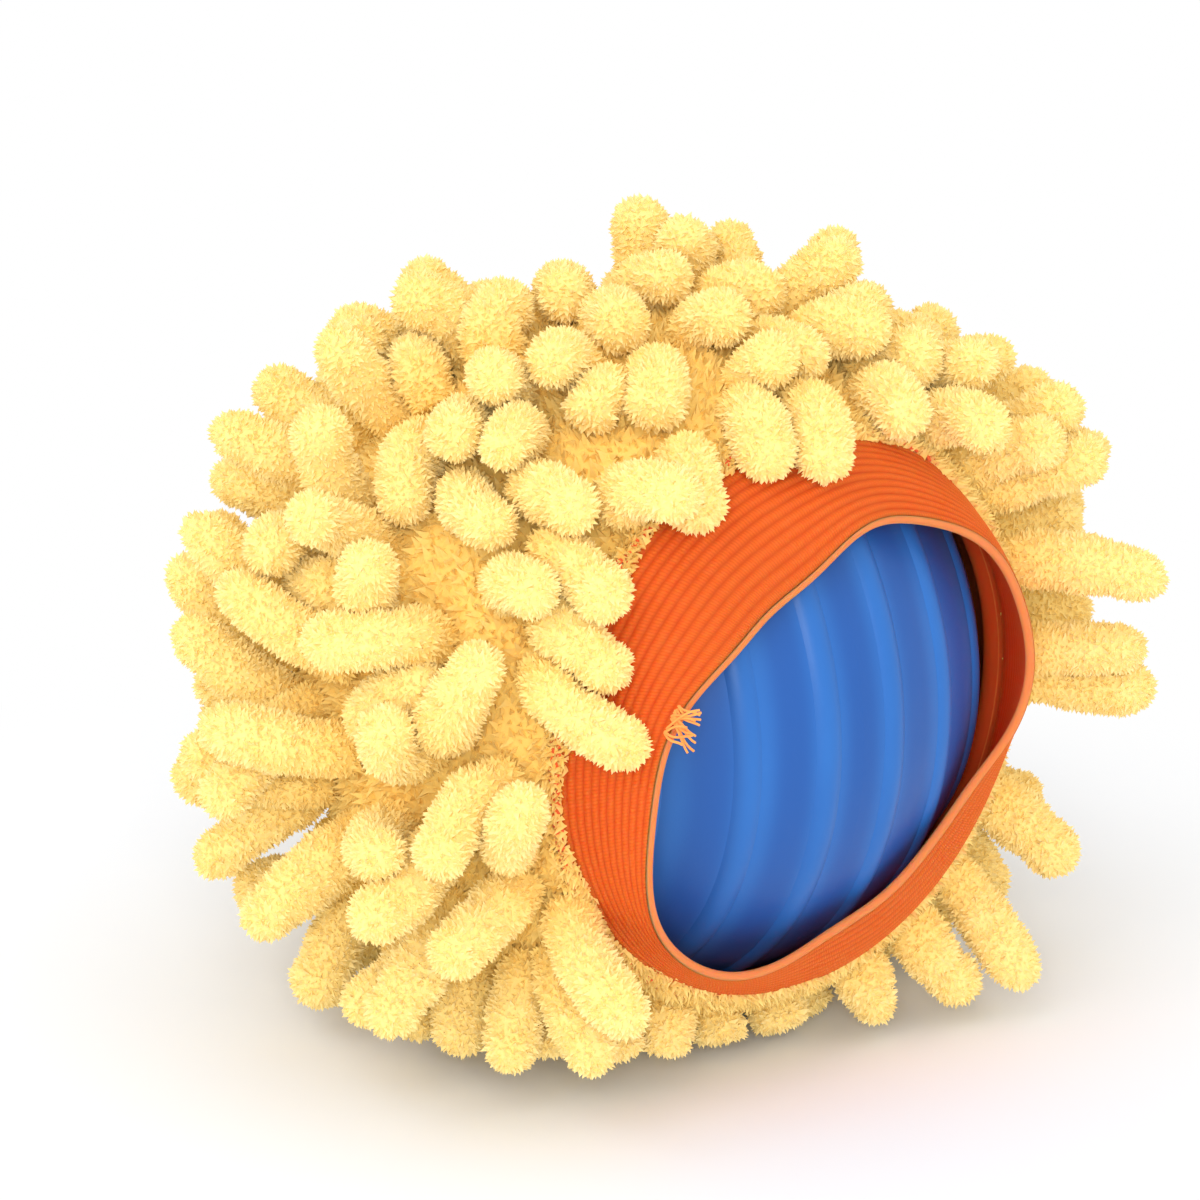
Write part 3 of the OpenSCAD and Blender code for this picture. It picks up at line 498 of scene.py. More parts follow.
def startLines(root, way, length):
    # Each noodle leaves the cloth square, then bends over to its own way
    p, joints = posture, settling["joints"]
    rng = np.random.default_rng(noodles["seed"])
    calm = 1 - p["calmFall"] * (root @ np.array(p["calmSide"]) - p["calmFrom"])
    calm = np.clip(calm, p["calmLeast"], 1)[:, None]
    stray = calm * rng.normal(0, p["stray"], root.shape)
    lay = p["lay"] * rng.uniform(0, 1, (len(root), 1)) ** p["layPower"]
    lay = calm * (lay + p["flopLay"] * facing(root, p["flopSide"]) ** 2)
    crown = np.maximum(0, root[:, 2:]) ** 2
    under = np.maximum(0, -root[:, 2:] - p["footFrom"])
    outward = unit(root * np.array(p["footWay"]))
    nearMouth = np.clip((-root[:, 1:2] - p["mouthFrom"]) / p["mouthOver"], 0, 1)
    nearMouth = nearMouth * np.clip(1 + root[:, 2:], 0, 1)
    toMouth = calm * nearMouth * np.array([0, -p["mouthLean"], 0])
    # On the upper left of the mouth the noodles flop in over the band
    over = p["overBand"] * nearMouth * facing(root, p["overSide"])
    toMouth = toMouth - over * unit(root * np.array([1, 0, 1]))
    bend = p["footSpread"] * under * outward - p["crownLay"] * crown * root + toMouth - root * lay
    ease = np.clip(length / noodles["length"], 0, 1)[:, None]
    lines = [fabricRadius / mm * root]
    step = length[:, None] / joints
    for k in range(joints):
        share = (k + 0.5) / joints
        heading = root * (1 - share) ** 2 + (way + stray * ease) * (p["ownWay"] + share) + share * bend
        lines.append(lines[-1] + step * unit(heading))
    return np.stack(lines, axis=1)


# How the noodles settle against each other, the cloth, the band and the floor
settling = {
    "joints": 8, "steps": 150, "easing": 5, "weight": 0.025, "stiffness": 0.12, "memory": 0.04,
    "touch": 6.3, "push": 0.35, "lookEvery": 10, "lookBeyond": 4, "rootSquare": 0.75,
    "thickFrom": 2.5, "clothRoom": 0.9, "bandRoom": 0.8, "rimStart": 1, "floorRoom": 4.6,
}


def bandRadiusAt(depth):
    share = np.clip((depth - rimDepth / mm) / (lipFront / mm - rimDepth / mm), 0, 1)
    return rimRadius / mm + share * (lipCentre[0] - rimRadius / mm)


def nearPairs(points, owner, reach):
    square = (points ** 2).sum(axis=1)
    gap = square[:, None] + square[None, :] - 2 * points @ points.T
    return np.nonzero((gap < reach ** 2) & (owner[:, None] < owner[None, :]))


def laidStep(here, way, step, lowest):
    # A step of full length that turns along the floor where it would go below it
    way = step * unit(way)
    drop = np.maximum(way[:, 2:], lowest - here[:, 2:])
    flat = unit(way[:, :2] + 0.001) * np.sqrt(np.maximum(0, step ** 2 - drop ** 2))
    return here + np.where(drop > way[:, 2:], np.concatenate([flat, drop], axis=1), way)


def pushApart(lines, first, second, free):
    flat = lines[:, 1:].reshape(-1, 3)
    delta = flat[first] - flat[second]
    apart = np.maximum(np.linalg.norm(delta, axis=1, keepdims=True), 0.01)
    push = settling["push"] * np.maximum(0, settling["touch"] - apart) * delta / apart
    np.add.at(flat, first, push * free[first])
    np.add.at(flat, second, -push * free[second])
    lines[:, 1:] = flat.reshape(lines[:, 1:].shape)


def keepOutside(lines, room):
    # Off the cloth, and off the band in front of the rim
    radial = np.linalg.norm(lines, axis=2)
    lines *= np.maximum(1, (fabricRadius / mm + settling["clothRoom"] * room) / radial)[:, :, None]
    depth, spread = -lines[:, :, 1], np.hypot(lines[:, :, 0], lines[:, :, 2])
    wanted = bandRadiusAt(depth) + settling["bandRoom"] * noodles["radius"]
    wanted = np.where(depth > rimDepth / mm - settling["rimStart"], wanted, 0)
    wider = np.maximum(1, wanted / np.maximum(spread, 0.1))
    lines[:, 2:, 0] *= wider[:, 2:]
    lines[:, 2:, 2] *= wider[:, 2:]


def settleLines(lines, root, length, pressed):
    # Noodles push each other aside, lie on the cloth and the floor and keep their length
    count, joints = lines.shape[0], settling["joints"]
    start = lines.copy()
    step = length[:, None] / joints
    owner = np.repeat(np.arange(count), joints)
    free = np.tile(np.arange(1, joints + 1) / joints, count)[:, None]
    room = noodles["radius"] * np.clip(np.arange(joints + 1) / settling["thickFrom"], 0, 1)[None, :]
    lowest = settling["floorRoom"] - ballCentre[2] / mm
    square = settling["rootSquare"]
    for turn in range(settling["steps"]):
        if turn % settling["lookEvery"] == 0:
            reach = settling["touch"] + settling["lookBeyond"]
            first, second = nearPairs(lines[:, 1:].reshape(-1, 3), owner, reach)
        lines[:, 1:-1] += settling["stiffness"] * ((lines[:, :-2] + lines[:, 2:]) / 2 - lines[:, 1:-1])
        lines += settling["memory"] * (start - lines)
        lines[:, 1:, 2] -= settling["weight"] * np.arange(1, joints + 1) / joints
        pushApart(lines, first, second, free)
        keepOutside(lines, room)
        lines[:, 1:, 2] = np.maximum(lines[:, 1:, 2], lowest)
        lines[:, 0] = start[:, 0]
        way = square * root + (1 - square) * unit(lines[:, 2] - lines[:, 0])
        lines[:, 1] = laidStep(lines[:, 0], way, step, lowest)
        for k in range(2, joints + 1):
            lines[:, k] = laidStep(lines[:, k - 1], lines[:, k] - lines[:, k - 1], step, lowest)
        lines[pressed] = start[pressed]
    # Kinks are eased out, and the tip follows on from its neck
    for _ in range(settling["easing"]):
        lines[:, 1:-1] = (lines[:, :-2] + 2 * lines[:, 1:-1] + lines[:, 2:]) / 4
        lines[:, -1] = laidStep(lines[:, -2], lines[:, -2] - lines[:, -4], step, lowest)
    lines[pressed] = start[pressed]
    return lines


# Form of one noodle's core and its pile
core = {
    "radius": 2.95, "sides": 12, "bodyRings": 18, "tipRings": 4, "plump": (0.93, 1.07),
    "lumps": ((0.05, 9), (0.035, 21)), "oval": 0.04, "ovalTwist": 5,
    "pinch": 0.86, "pinchOver": 0.25, "taper": 0.14, "rootSink": 0.5,
}
pile = {"spacing": 0.38 * mm, "tuftLength": 0.85 * mm, "tuftWidth": 0.8 * mm, "tilt": 0.45, "spread": 0.35,
        "coreKept": True}


def smoothLines(lines, shares):
    # Catmull-Rom curve through the joints
    joints = lines.shape[1] - 1
    before, after = 2 * lines[:, :1] - lines[:, 1:2], 2 * lines[:, -1:] - lines[:, -2:-1]
    padded = np.concatenate([before, lines, after], axis=1)
    found = []
    for share in shares:
        k = min(int(share * joints), joints - 1)
        t = share * joints - k
        a, b, c, d = (padded[:, k + i] for i in range(4))
        found.append(b + 0.5 * t * (c - a + t * (2 * a - 5 * b + 4 * c - d + t * (3 * (b - c) + d - a))))
    return np.stack(found, axis=1)


def coreWidth(width, share, angle, phase):
    # A pinched root, a lumpy, slightly oval body and a slow taper
    (swell, often), (dent, oftener) = core["lumps"]
    lump = 1 + swell * np.sin(often * share + phase[:, :1]) + dent * np.sin(oftener * share + phase[:, 1:2])
    lump = lump + core["oval"] * np.sin(2 * angle[None, :] + core["ovalTwist"] * share + phase[:, 2:])
    pinch = core["pinch"] + (1 - core["pinch"]) * min(1, share / core["pinchOver"])
    return width * pinch * (1 - core["taper"] * share ** 3) * lump


def noodleTubes(lines):
    # Rings along each curve, closed by a point at the root and a round tip
    rng = np.random.default_rng(noodles["seed"] + 1)
    sides = core["sides"]
    tipShare = core["radius"] / noodles["length"]
    body = np.linspace(0, 1 - tipShare, core["bodyRings"])
    tipAngle = np.linspace(0, math.pi / 2, core["tipRings"] + 2)[1:-1]
    shares = np.concatenate([body, 1 - tipShare + tipShare * np.sin(tipAngle)])
    narrow = np.concatenate([np.ones(len(body)), np.cos(tipAngle)])
    centre = smoothLines(lines, np.append(shares, 1.0))
    along = unit(np.gradient(centre, axis=1))
    side = unit(np.cross(along[:, 0], np.array([0.31, 0.52, 0.8])))  # any way that no noodle takes
    phase = rng.uniform(0, 2 * math.pi, (len(lines), 3))
    plump = rng.uniform(*core["plump"], (len(lines), 1))
    angle = turnsOf(sides)
    rings = []
    for k, share in enumerate(shares):
        side = unit(side - (side * along[:, k]).sum(axis=1, keepdims=True) * along[:, k])
        up = np.cross(along[:, k], side)
        radius = coreWidth(core["radius"] * plump * narrow[k], share, angle, phase)
        rings.append(centre[:, k, None] + radius[:, :, None] * (
            np.cos(angle)[None, :, None] * side[:, None] + np.sin(angle)[None, :, None] * up[:, None]))
    rings = np.stack(rings, axis=1).reshape(len(lines), -1, 3)
    rootPoints = centre[:, :1] - core["rootSink"] * along[:, :1]
    points = np.concatenate([rings, rootPoints, centre[:, -1:]], axis=1)
    faces = gridFaces(len(shares), sides)
    last = (len(shares) - 1) * sides
    rootPoint, tipPoint = len(shares) * sides, len(shares) * sides + 1
    for k in range(sides):
        n = (k + 1) % sides
        faces += [(rootPoint, n, k), (tipPoint, last + k, last + n)]
    return points, faces, np.concatenate([np.repeat(shares, sides), [0, 1]])


def noodleLengths(root, way, length):
    # Shorter on the crown, stopped by the floor where they hang, pressed flat right under the ball
    length = length * (1 - noodles["crownDroop"] * np.maximum(0, root[:, 2]) ** 2)
    under = ballCentre[2] / mm + fabricRadius / mm * root[:, 2]
    lift = noodles["nearLift"] * np.maximum(0, root @ np.array(noodles["nearSide"]))
    room = noodles["radius"] + (under - lift - noodles["radius"]) / np.maximum(0.05, -way[:, 2])
    room *= noodles["footSlack"]
    length = np.where(way[:, 2] < 0, np.minimum(length, np.maximum(room, noodles["radius"])), length)
    pressed = under < noodles["pressedRoom"]
    length[pressed] = np.minimum(length, (under - noodles["floorPile"]) / np.abs(root[:, 2]))[pressed]
    return length, pressed


def noodleGroups(root, polar):
    # The frame's four nodes, by side
    beside = (polar > noodles["frontAngle"]) & (polar <= noodles["backAngle"])
    return {
        "front_noodles": polar <= noodles["frontAngle"],
        "left_noodles": beside & (root[:, 0] <= 0),
        "right_noodles": beside & (root[:, 0] > 0),
        "back_noodles": polar > noodles["backAngle"],
    }


def makeNoodles():
    root = noodleRoots()
    main = len(root)
    root = np.concatenate([root, fillerRoots(root)])
    polar = np.degrees(np.arccos(-root[:, 1]))
    way = noodleWays(root)
    share = np.modf(noodles["goldenShare"] * (np.arange(len(root)) + noodles["lengthStart"]))[0]
    length = noodles["length"] * (1 + noodles["lengthSpread"] * (share - 0.5))
    length -= core["radius"] * noodles["tipTrim"]
    length[main:] *= noodles["fillerShare"]
    jitter = np.random.default_rng(noodles["seed"] + 2).normal(0, noodles["shift"], root.shape)
    root = unit(root + jitter - (jitter * root).sum(axis=1, keepdims=True) * root)
    length, pressed = noodleLengths(root, way, length)
    start = startLines(root, way, length)
    reach = np.linspace(0, 1, settling["joints"] + 1)[None, :, None] * length[:, None, None]
    start[pressed] = (fabricRadius / mm + reach[pressed]) * root[pressed][:, None]
    points, faces, along = noodleTubes(settleLines(start, root, length, pressed))
    points = points * mm + ballCentre
    for node, chosen in noodleGroups(root, polar).items():
        members = np.nonzero(chosen)[0]
        members = members[np.argsort(root[members, 2])]
        for part, some in zip(("lower", "upper"), np.array_split(members, 2)):
            starts = range(0, len(some) * len(along), len(along))
            every = [tuple(start + i for i in face) for start in starts for face in faces]
            piece = meshPiece(f"{node}_{part}", points[some].reshape(-1, 3), every, noodleChenille)
            # alongNoodle sets where the painted root shade falls on each noodle
            pointAttribute(piece, "alongNoodle", np.tile(along, len(some)))
            runTree(piece, chenillePile, seed=3, pile=noodleChenille, **pile)
            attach(piece, "cover")
            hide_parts(node)
            print(piece.name, len(some), "noodles,", len(piece.data.polygons), "faces")


makeNoodles()

# Base cloth: the knit pocket that the noodles are sewn to, with a short pile
baseCloth = {"inset": 0.25 * mm, "thickness": 1.2 * mm, "around": 160, "rows": 64, "rootTone": 0.3,
             "flat": (0.242, 0.085), "area": 0.0147}
basePile = {"spacing": 0.6 * mm, "tuftLength": 1.6 * mm, "tuftWidth": 1.1 * mm, "tilt": 0.6, "spread": 0.35,
            "coreKept": False}
liningTones = ((0.9, 0.11, 0.02, 1), (0.98, 0.19, 0.04, 1))


def turnedPiece(name, profile, around, material):
    # Body turned about the mouth's axis from (radius, depth) points; an end on the axis closes in a pole
    angle = turnsOf(around)
    rows = np.array([point for point in profile if point[0] > 0])
    ring = np.stack([np.outer(rows[:, 0], np.cos(angle)), -np.repeat(rows[:, 1:], around, axis=1),
                     np.outer(rows[:, 0], np.sin(angle))], axis=2).reshape(-1, 3)
    points, faces = list(ring), gridFaces(len(rows), around)
    last = (len(rows) - 1) * around
    for k in range(around):
        n = (k + 1) % around
        if profile[0][0] == 0:
            faces.append((len(ring), n, k))
        if profile[-1][0] == 0:
            faces.append((len(ring) + 1, last + k, last + n))
    points += [(0, -end[1], 0) for end in (profile[0], profile[-1]) if end[0] == 0]
    return meshPiece(name, np.array(points) + ballCentre, faces, material)


def liningMaterial():
    material, tree, shader = newMaterial("orangeLining", 0.8, Specular_IOR_Level=0.2)
    tree.links.new(mixColour(tree, noiseAt(tree, 700, 3), *liningTones), shader.inputs["Base Color"])
    addBump(tree, shader, noiseAt(tree, 2400, 2), 0.4, 0.0002)
    return material


def makeBaseCloth():
    outer = fabricRadius - baseCloth["inset"]
    inner = outer - baseCloth["thickness"]
    sweep = np.linspace(math.pi, math.acos(rimDepth / fabricRadius), baseCloth["rows"])
    skin = [(0, -outer)] + [(outer * math.sin(t), outer * math.cos(t)) for t in sweep[1:]]
    lining = [(inner * math.sin(t), inner * math.cos(t)) for t in reversed(sweep[1:])] + [(0, -inner)]
    cloth = turnedPiece("base_cloth", skin + lining, baseCloth["around"], baseChenille)
    cloth.data.materials.append(liningMaterial())
    for face in cloth.data.polygons:
        away = (np.array(face.center) - ballCentre) ** 2
        face.material_index = int(math.sqrt(away.sum()) < (outer + inner) / 2)
    skinPile = turnedPiece("base_pile", skin, baseCloth["around"], baseChenille)
    for piece in (cloth, skinPile):
        # The base cloth takes a fixed share of the painted root shade
        pointAttribute(piece, "alongNoodle", [baseCloth["rootTone"]] * len(piece.data.vertices))
    runTree(skinPile, chenillePile, seed=5, pile=baseChenille, **basePile)
    for piece in (cloth, skinPile):
        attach(piece, "cover")
        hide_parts("cover_fabric")


# Rim fluff, in millimetres along the band from its root: loose pile that strays over it, most of all below
rimFluff = {"from": -1.4, "to": 0.7, "toBelow": 2.6, "ragged": 0.5, "rags": 11, "stand": 0.45,
            "around": 200, "rows": 5, "rootTone": 0.4}
rimPile = {"spacing": 0.3 * mm, "tuftLength": 1.35 * mm, "tuftWidth": 0.75 * mm, "tilt": 0.7, "spread": 0.4,
           "coreKept": False}


def makeRimFluff():
    way = unit(lipCentre - np.array([rimRadius, rimDepth]) / mm)
    out = np.array([way[1], -way[0]])
    root = np.array([rimRadius, rimDepth]) / mm + rimFluff["stand"] * out
    turn = turnsOf(rimFluff["around"])
    edge = rimFluff["to"] + (rimFluff["toBelow"] - rimFluff["to"]) * np.maximum(0, -np.sin(turn)) ** 2
    edge = edge + rimFluff["ragged"] * np.sin(rimFluff["rags"] * turn)
    share = np.linspace(0, 1, rimFluff["rows"])[:, None]
    along = rimFluff["from"] + share * (edge - rimFluff["from"])
    points = aboutMouth(root[0] + along * way[0], root[1] + along * way[1], turn).reshape(-1, 3)
    faces = gridFaces(rimFluff["rows"], rimFluff["around"])
    fluff = meshPiece("rim_fluff", points, faces, baseChenille)
    # The rim fluff takes a fixed share of the painted root shade
    pointAttribute(fluff, "alongNoodle", [rimFluff["rootTone"]] * len(fluff.data.vertices))
    runTree(fluff, chenillePile, seed=8, pile=baseChenille, **rimPile)
    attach(fluff, "cover")


makeBaseCloth()
makeRimFluff()
print("base cloth made")

# Elastic: orange knit with circumferential cords, painted shade in the grooves between them, a paler lip and
# a redder inside that stands in for shade
elastic = {
    "groove": (0.64, 0.075, 0.01, 1), "cord": (0.89, 0.15, 0.021, 1), "worn": (0.80, 0.16, 0.03, 1),
    "lip": (0.93, 0.23, 0.075, 1), "inside": (0.98, 0.07, 0.012, 1),
    "slant": 2.4, "wornShare": 0.35, "insideShare": 0.75,
}


def elasticMaterial():
    material, tree, shader = newMaterial(
        "orangeElastic", 0.8, Specular_IOR_Level=0.12,
        Subsurface_Weight=0.8, Subsurface_Radius=(1.0, 0.12, 0.03), Subsurface_Scale=0.003)
    uv = addNode(tree, "ShaderNodeUVMap", uv_map="weave").outputs[0]
    part = addNode(tree, "ShaderNodeSeparateXYZ", {"Vector": uv}).outputs
    cord = mathNode(tree, "ABSOLUTE", mathNode(tree, "SINE", mathNode(tree, "MULTIPLY", part["Y"], math.pi)))
    slant = mathNode(tree, "ADD", mathNode(tree, "MULTIPLY", part["X"], 2 * math.pi),
                     mathNode(tree, "MULTIPLY", part["Y"], elastic["slant"]))
    stitch = mathNode(tree, "ABSOLUTE", mathNode(tree, "SINE", slant))
    stitch = mathNode(tree, "ADD", mathNode(tree, "MULTIPLY", stitch, 0.5), 0.5)
    knit = mathNode(tree, "MULTIPLY", cord, stitch)
    # Painted shade: the grooves between the cords and the stitches are darker
    colour = mixColour(tree, knit, elastic["groove"], elastic["cord"])
    worn = mathNode(tree, "MULTIPLY", noiseAt(tree, 260, 3), elastic["wornShare"])
    colour = mixColour(tree, worn, colour, elastic["worn"])
    colour = mixColour(tree, attributeAt(tree, "lipShare"), colour, elastic["lip"])
    # Painted shade: the inner rows take a deeper, redder tint
    inside = mathNode(tree, "MULTIPLY", attributeAt(tree, "insideShare"), elastic["insideShare"])
    colour = mixColour(tree, inside, colour, elastic["inside"])
    tree.links.new(colour, shader.inputs["Base Color"])
    addBump(tree, shader, knit, 0.6, 0.00025)
    return material


def waveAt(waves, turn):
    return sum(size * np.sin(count * turn + start) for count, size, start in waves)


def bandProfile():
    # (radius, depth) points of one loop, and for each its share of the width, of the lip and of the painted
    # shade on the inside
    s = stretchMouth
    root = np.array([rimRadius / mm - s["halfThickness"], rimDepth / mm - s["rootTuck"]])
    way = unit(lipCentre - root)
    out = np.array([way[1], -way[0]])
    rows, marks = [], []

    def wall(v, stand):
        return root + (lipCentre - root) * v + out * (s["bulge"] * math.sin(math.pi * v) + stand)

    for v in np.linspace(0, 1, s["outerRows"]):
        rib = s["ribHeight"] * abs(math.sin(math.pi * s["cords"] * v)) ** s["ribPower"]
        rows.append(wall(v, s["halfThickness"] + rib))
        marks.append((v, 0.0, 0.0))
    for t in np.linspace(-s["lipOverlap"], 1 + s["lipOverlap"], s["lipRows"]):
        spin = math.pi * t
        rows.append(lipCentre + s["lipRoll"] * (out * math.cos(spin) + way * math.sin(spin)))
        marks.append((1.0, 1.0, 0.0))
    for v in np.linspace(s["innerFrom"], 0, s["innerRows"]):
        rows.append(wall(v, -s["halfThickness"]))
        marks.append((v, 0.0, 1.0))
    # The inner edge turns in towards the ball
    inner, rimAngle = rows[-1], math.atan2(rimRadius, rimDepth)
    for v in np.linspace(0, 1, s["hugRows"] + 1)[1:]:
        angle = rimAngle + math.radians(s["hugTurn"]) * v
        hug = (ballRadius / mm + s["hugGap"]) * np.array([math.sin(angle), math.cos(angle)])
        rows.append(inner + (hug - inner) * math.sin(math.pi / 2 * v))
        marks.append((0.0, 0.0, 1.0))
    return np.array(rows), np.array(marks)


def bandPoints(turn):
    # The loop at each turn angle, wavier towards the lip
    rows, marks = bandProfile()
    slack = marks[:, :1] ** stretchMouth["slackPower"]
    radius = rows[:, :1] + slack * waveAt(stretchMouth["waves"], turn)[None, :]
    depth = rows[:, 1:] + slack * waveAt(stretchMouth["sways"], turn)[None, :]
    return radius, depth, marks


def makeBand():
    around = stretchMouth["around"]
    turn = turnsOf(around)
    radius, depth, marks = bandPoints(turn)
    faces = gridFaces(len(marks), around, closed=True)
    band = meshPiece("ribbed_band", aboutMouth(radius, depth, turn).reshape(-1, 3), faces, elasticMaterial())
    pointAttribute(band, "lipShare", np.repeat(marks[:, 1], around))
    # The inner rows carry the painted shade
    pointAttribute(band, "insideShare", np.repeat(marks[:, 2], around))
    weave = band.data.uv_layers.new(name="weave")
    across = np.repeat(marks[:, 0] * stretchMouth["cords"], around)
    places = []
    for face in faces:
        start = face[0] % around
        for corner, vertex in enumerate(face):
            step = start + (1 if corner in (1, 2) else 0)
            places += [step * stretchMouth["stitches"] / around, across[vertex]]
    weave.data.foreach_set("uv", places)
    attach(band, "cover")
    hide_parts("elastic_band")


makeBand()
print("elastic band made")

# Threads, in millimetres: a zigzag seam at the band's root and a frayed end at the lip
seamThread = {"teeth": 190, "samples": 6, "threadRadius": 0.26 * mm, "half": 0.5, "offset": 0.35, "seed": 9,
              "uneven": (0.55, 1.2), "across": (-0.57, 0.82),
              "tones": ((0.75, 0.09, 0.012, 1), (0.9, 0.16, 0.03, 1))}
frayedEnd = {
    "turn": 161, "turnSpread": 4, "strands": 14, "samples": 10, "threadRadius": 0.14 * mm, "reach": 4.2,
    "seed": 4, "rowsBack": 4, "sway": 0.075, "curl": (0.5, 1.2), "stand": 0.3, "inward": 0.45,
    "forward": 0.35, "arch": 0.5, "archTurn": 2.4, "wobble": 0.012, "wobbleTurn": 4,
    "tones": ((0.9, 0.24, 0.035, 1), (1.0, 0.48, 0.1, 1)),
}


def sweepTree():
    tree, given, result = geometryTree("threadSweep", {
        "Thread Radius": "NodeSocketFloat", "Thread": "NodeSocketMaterial"})
    line = addNode(tree, "GeometryNodeMeshToCurve", {"Mesh": given["Geometry"]}).outputs[0]
    ring = addNode(tree, "GeometryNodeCurvePrimitiveCircle", {
        "Resolution": 6, "Radius": given["Thread Radius"]}).outputs[0]
    tube = addNode(tree, "GeometryNodeCurveToMesh", {
        "Curve": line, "Profile Curve": ring, "Fill Caps": True}).outputs[0]
    tube = addNode(tree, "GeometryNodeRealizeInstances", {"Geometry": tube}).outputs[0]
    tube = addNode(tree, "GeometryNodeSetMaterial", {
        "Geometry": tube, "Material": given["Thread"]}).outputs[0]
    tree.links.new(tube, result.inputs[0])
    return tree


def threadMaterial(name, dark, light):
    material, tree, shader = newMaterial(name, 0.7, Sheen_Weight=0.2)
    tree.links.new(mixColour(tree, noiseAt(tree, 900, 2), dark, light), shader.inputs["Base Color"])
    addBump(tree, shader, noiseAt(tree, 5000, 1), 0.4, 0.0001)
    return material


threadSweep = sweepTree()


def threadPiece(name, lines, radius, material, closed=False):
    points, edges = [], []
    for line in lines:
        start = len(points)
        points += [tuple(p) for p in line]
        edges += [(start + k, start + k + 1) for k in range(len(line) - 1)]
        if closed:
            edges.append((len(points) - 1, start))
    mesh = bpy.data.meshes.new(name)
    mesh.from_pydata(points, edges, [])
    piece = newObject(name, mesh)
    runTree(piece, threadSweep, threadRadius=radius, thread=material)
    shadeSmooth(piece.data)
    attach(piece, "cover")


def makeSeam():
    s = seamThread
    turn = turnsOf(s["teeth"] * s["samples"])
    uneven = np.random.default_rng(s["seed"]).uniform(*s["uneven"], s["teeth"])
    swing = np.sin(s["teeth"] * turn) * s["half"] * np.repeat(uneven, s["samples"])
    radius = rimRadius / mm + s["offset"] + s["across"][0] * swing
    depth = rimDepth / mm + s["across"][1] * swing
    material = threadMaterial("seamThread", *s["tones"])
    line = aboutMouth(radius, depth, turn)
    threadPiece("rim_seam", [line], s["threadRadius"], material, closed=True)


def makeFrayedEnd():
    f = frayedEnd
    rng = np.random.default_rng(f["seed"])
    row = stretchMouth["outerRows"] - f["rowsBack"]
    t = np.linspace(0, 1, f["samples"])
    lines = []
    for k in range(f["strands"]):
        turn = math.radians(f["turn"] + rng.uniform(-f["turnSpread"], f["turnSpread"]))
        sway = rng.uniform(-f["sway"], f["sway"])
        curl = rng.uniform(*f["curl"])
        radius, depth, _ = bandPoints(np.array([turn]))
        reach = f["reach"] * t
        r = radius[row, 0] + f["stand"] - reach * f["inward"] * curl * t
        d = depth[row, 0] + f["arch"] * np.sin(f["archTurn"] * t) + reach * f["forward"]
        a = turn + sway * t * 2 + f["wobble"] * np.sin(f["wobbleTurn"] * t + k)
        lines.append(aboutMouth(r, d, a))
    material = threadMaterial("looseThread", *f["tones"])
    threadPiece("frayed_thread", lines, f["threadRadius"], material)


makeSeam()
makeFrayedEnd()
print("seam and frayed thread made")

# Finishes of the CAD nodes, one for each of the record's slots
moulding = {"speck": 0.06, "cloud": 120, "roughSpread": 0.06, "grain": 900}
finishes = {
    "chassis_grey": {"colour": (0.09, 0.09, 0.1), "roughness": 0.55},
    "clamp_grey": {"colour": (0.2, 0.21, 0.22), "roughness": 0.5},
    "gear_white": {"colour": (0.82, 0.82, 0.78), "roughness": 0.35},
    "steel": {"colour": (0.62, 0.62, 0.63), "roughness": 0.25, "metallic": 1.0},
    "screw_steel": {"colour": (0.55, 0.55, 0.57), "roughness": 0.35, "metallic": 1.0},
    "contact_nickel": {"colour": (0.72, 0.7, 0.66), "roughness": 0.22, "metallic": 1.0},
    "bronze": {"colour": (0.62, 0.42, 0.2), "roughness": 0.35, "metallic": 1.0},
    "motor_can_steel": {"colour": (0.6, 0.6, 0.6), "roughness": 0.3, "metallic": 1.0},
    "bell_white": {"colour": (0.78, 0.76, 0.68), "roughness": 0.45},
    "cell_jacket": {"colour": (0.03, 0.14, 0.06), "roughness": 0.3, "coat": 0.4},
    "board_green": {"colour": (0.02, 0.2, 0.08), "roughness": 0.4, "coat": 0.3},
    "chip_black": {"colour": (0.02, 0.02, 0.022), "roughness": 0.5},
    "capacitor_sleeve": {"colour": (0.02, 0.03, 0.1), "roughness": 0.35},
    "sensor_gold": {"colour": (0.8, 0.6, 0.25), "roughness": 0.25, "metallic": 1.0},
    "switch_black": {"colour": (0.03, 0.03, 0.03), "roughness": 0.5},
    "knob_white": {"colour": (0.8, 0.8, 0.8), "roughness": 0.45},
    "lead_red": {"colour": (0.6, 0.02, 0.02), "roughness": 0.45},
    "lead_black": {"colour": (0.02, 0.02, 0.02), "roughness": 0.45},
}
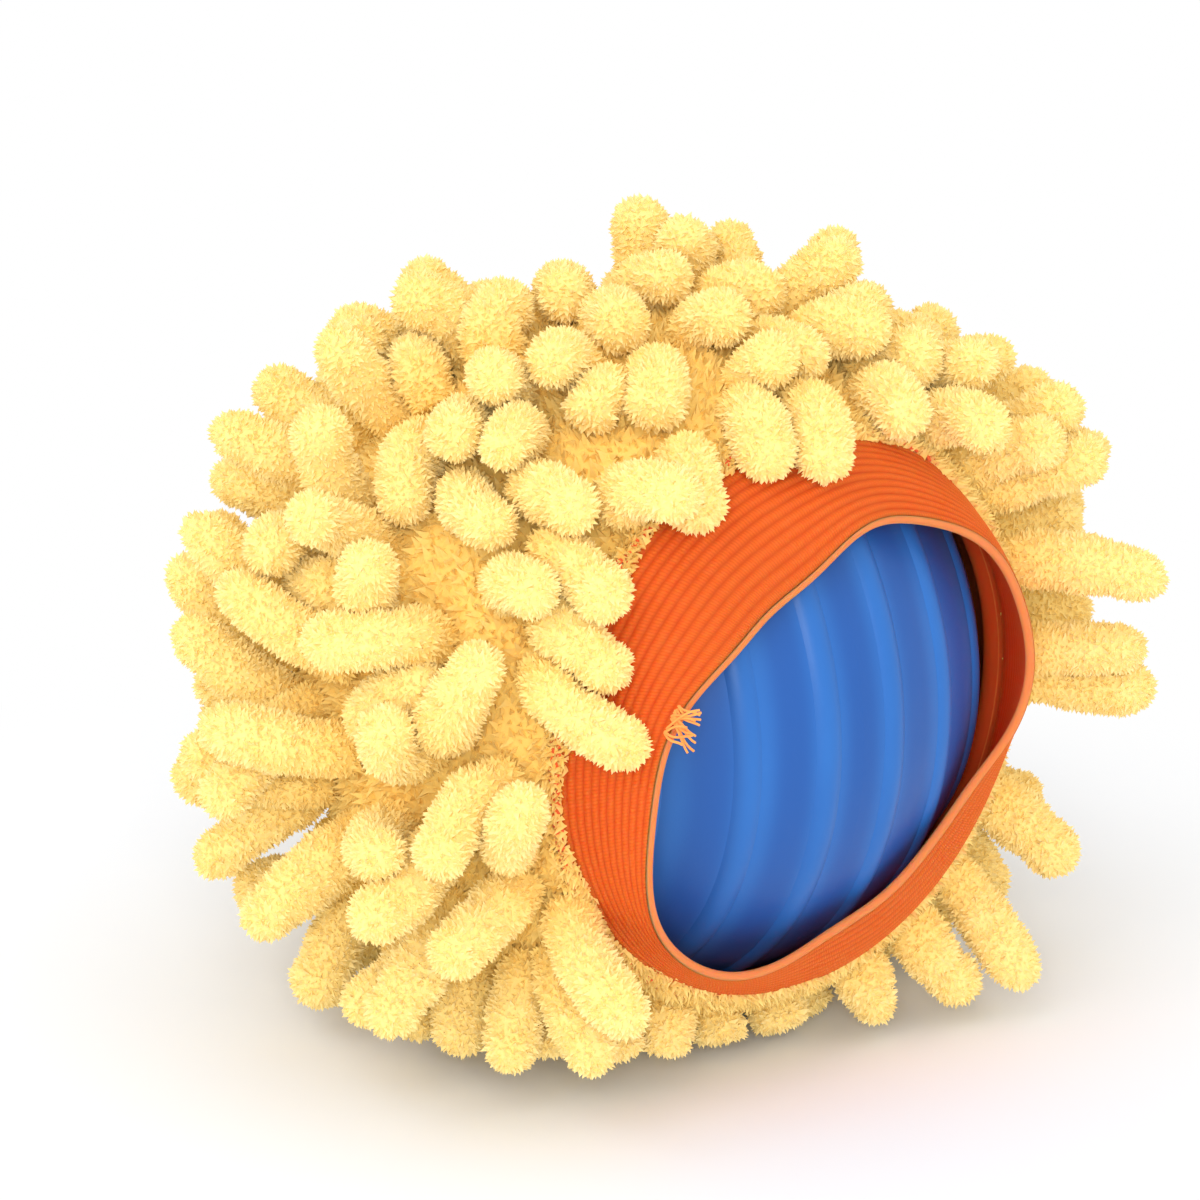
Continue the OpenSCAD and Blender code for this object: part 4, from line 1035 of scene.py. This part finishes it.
# Plain blue of the valleys, and the paler blue of the painted highlight on the ring crests
ballBlue = {"valley": (0.0115, 0.092, 0.365, 1), "crest": (0.021, 0.147, 0.485, 1), "ringPitch": 8.5 * mm,
            "roughness": 0.42, "smoother": 0.05, "rougher": 0.07}


def mouldedFinish(name, colour, roughness, metallic=0.0, coat=0.0):
    material, tree, shader = newMaterial(name, roughness, Metallic=metallic, Coat_Weight=coat)
    dark = [c * (1 - moulding["speck"]) for c in colour] + [1]
    light = [min(1, c * (1 + moulding["speck"])) for c in colour] + [1]
    cloud = mixColour(tree, noiseAt(tree, moulding["cloud"], 4), dark, light)
    tree.links.new(cloud, shader.inputs["Base Color"])
    unevenRoughness(tree, shader, roughness - moulding["roughSpread"], roughness + moulding["roughSpread"])
    addBump(tree, shader, noiseAt(tree, moulding["grain"], 2), 0.12, 0.0001)
    return material


def ballFinish():
    # Satin blue, with a painted highlight along the crests of the rings
    rough = ballBlue["roughness"]
    material, tree, shader = newMaterial("ballBlue", rough, Specular_IOR_Level=0.35)
    place = addNode(tree, "ShaderNodeTexCoord").outputs["Object"]
    x = addNode(tree, "ShaderNodeSeparateXYZ", {"Vector": place}).outputs["X"]
    wave = mathNode(tree, "COSINE", mathNode(tree, "MULTIPLY", x, 2 * math.pi / ballBlue["ringPitch"]))
    # Painted highlight: paler blue along the crests of the rings
    crest = mapRange(tree, wave, (1.0, -1.0), kind="SMOOTHSTEP")
    uneven = mathNode(tree, "ADD", mathNode(tree, "MULTIPLY", noiseAt(tree, 90, 3), 0.5), 0.6)
    colour = mixColour(tree, mathNode(tree, "MULTIPLY", crest, uneven), ballBlue["valley"], ballBlue["crest"])
    tree.links.new(colour, shader.inputs["Base Color"])
    unevenRoughness(tree, shader, rough - ballBlue["smoother"], rough + ballBlue["rougher"])
    addBump(tree, shader, noiseAt(tree, 2600, 2), 0.1, 0.0001)
    return material


def finishNodes():
    made = {slot: mouldedFinish(f"{slot}Finish", **values) for slot, values in finishes.items()}
    made["shell_blue"] = ballFinish()
    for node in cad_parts.values():
        for slot in node.material_slots:
            if slot.material and slot.material.name in made:
                slot.material = made[slot.material.name]


finishNodes()
print("CAD nodes finished")
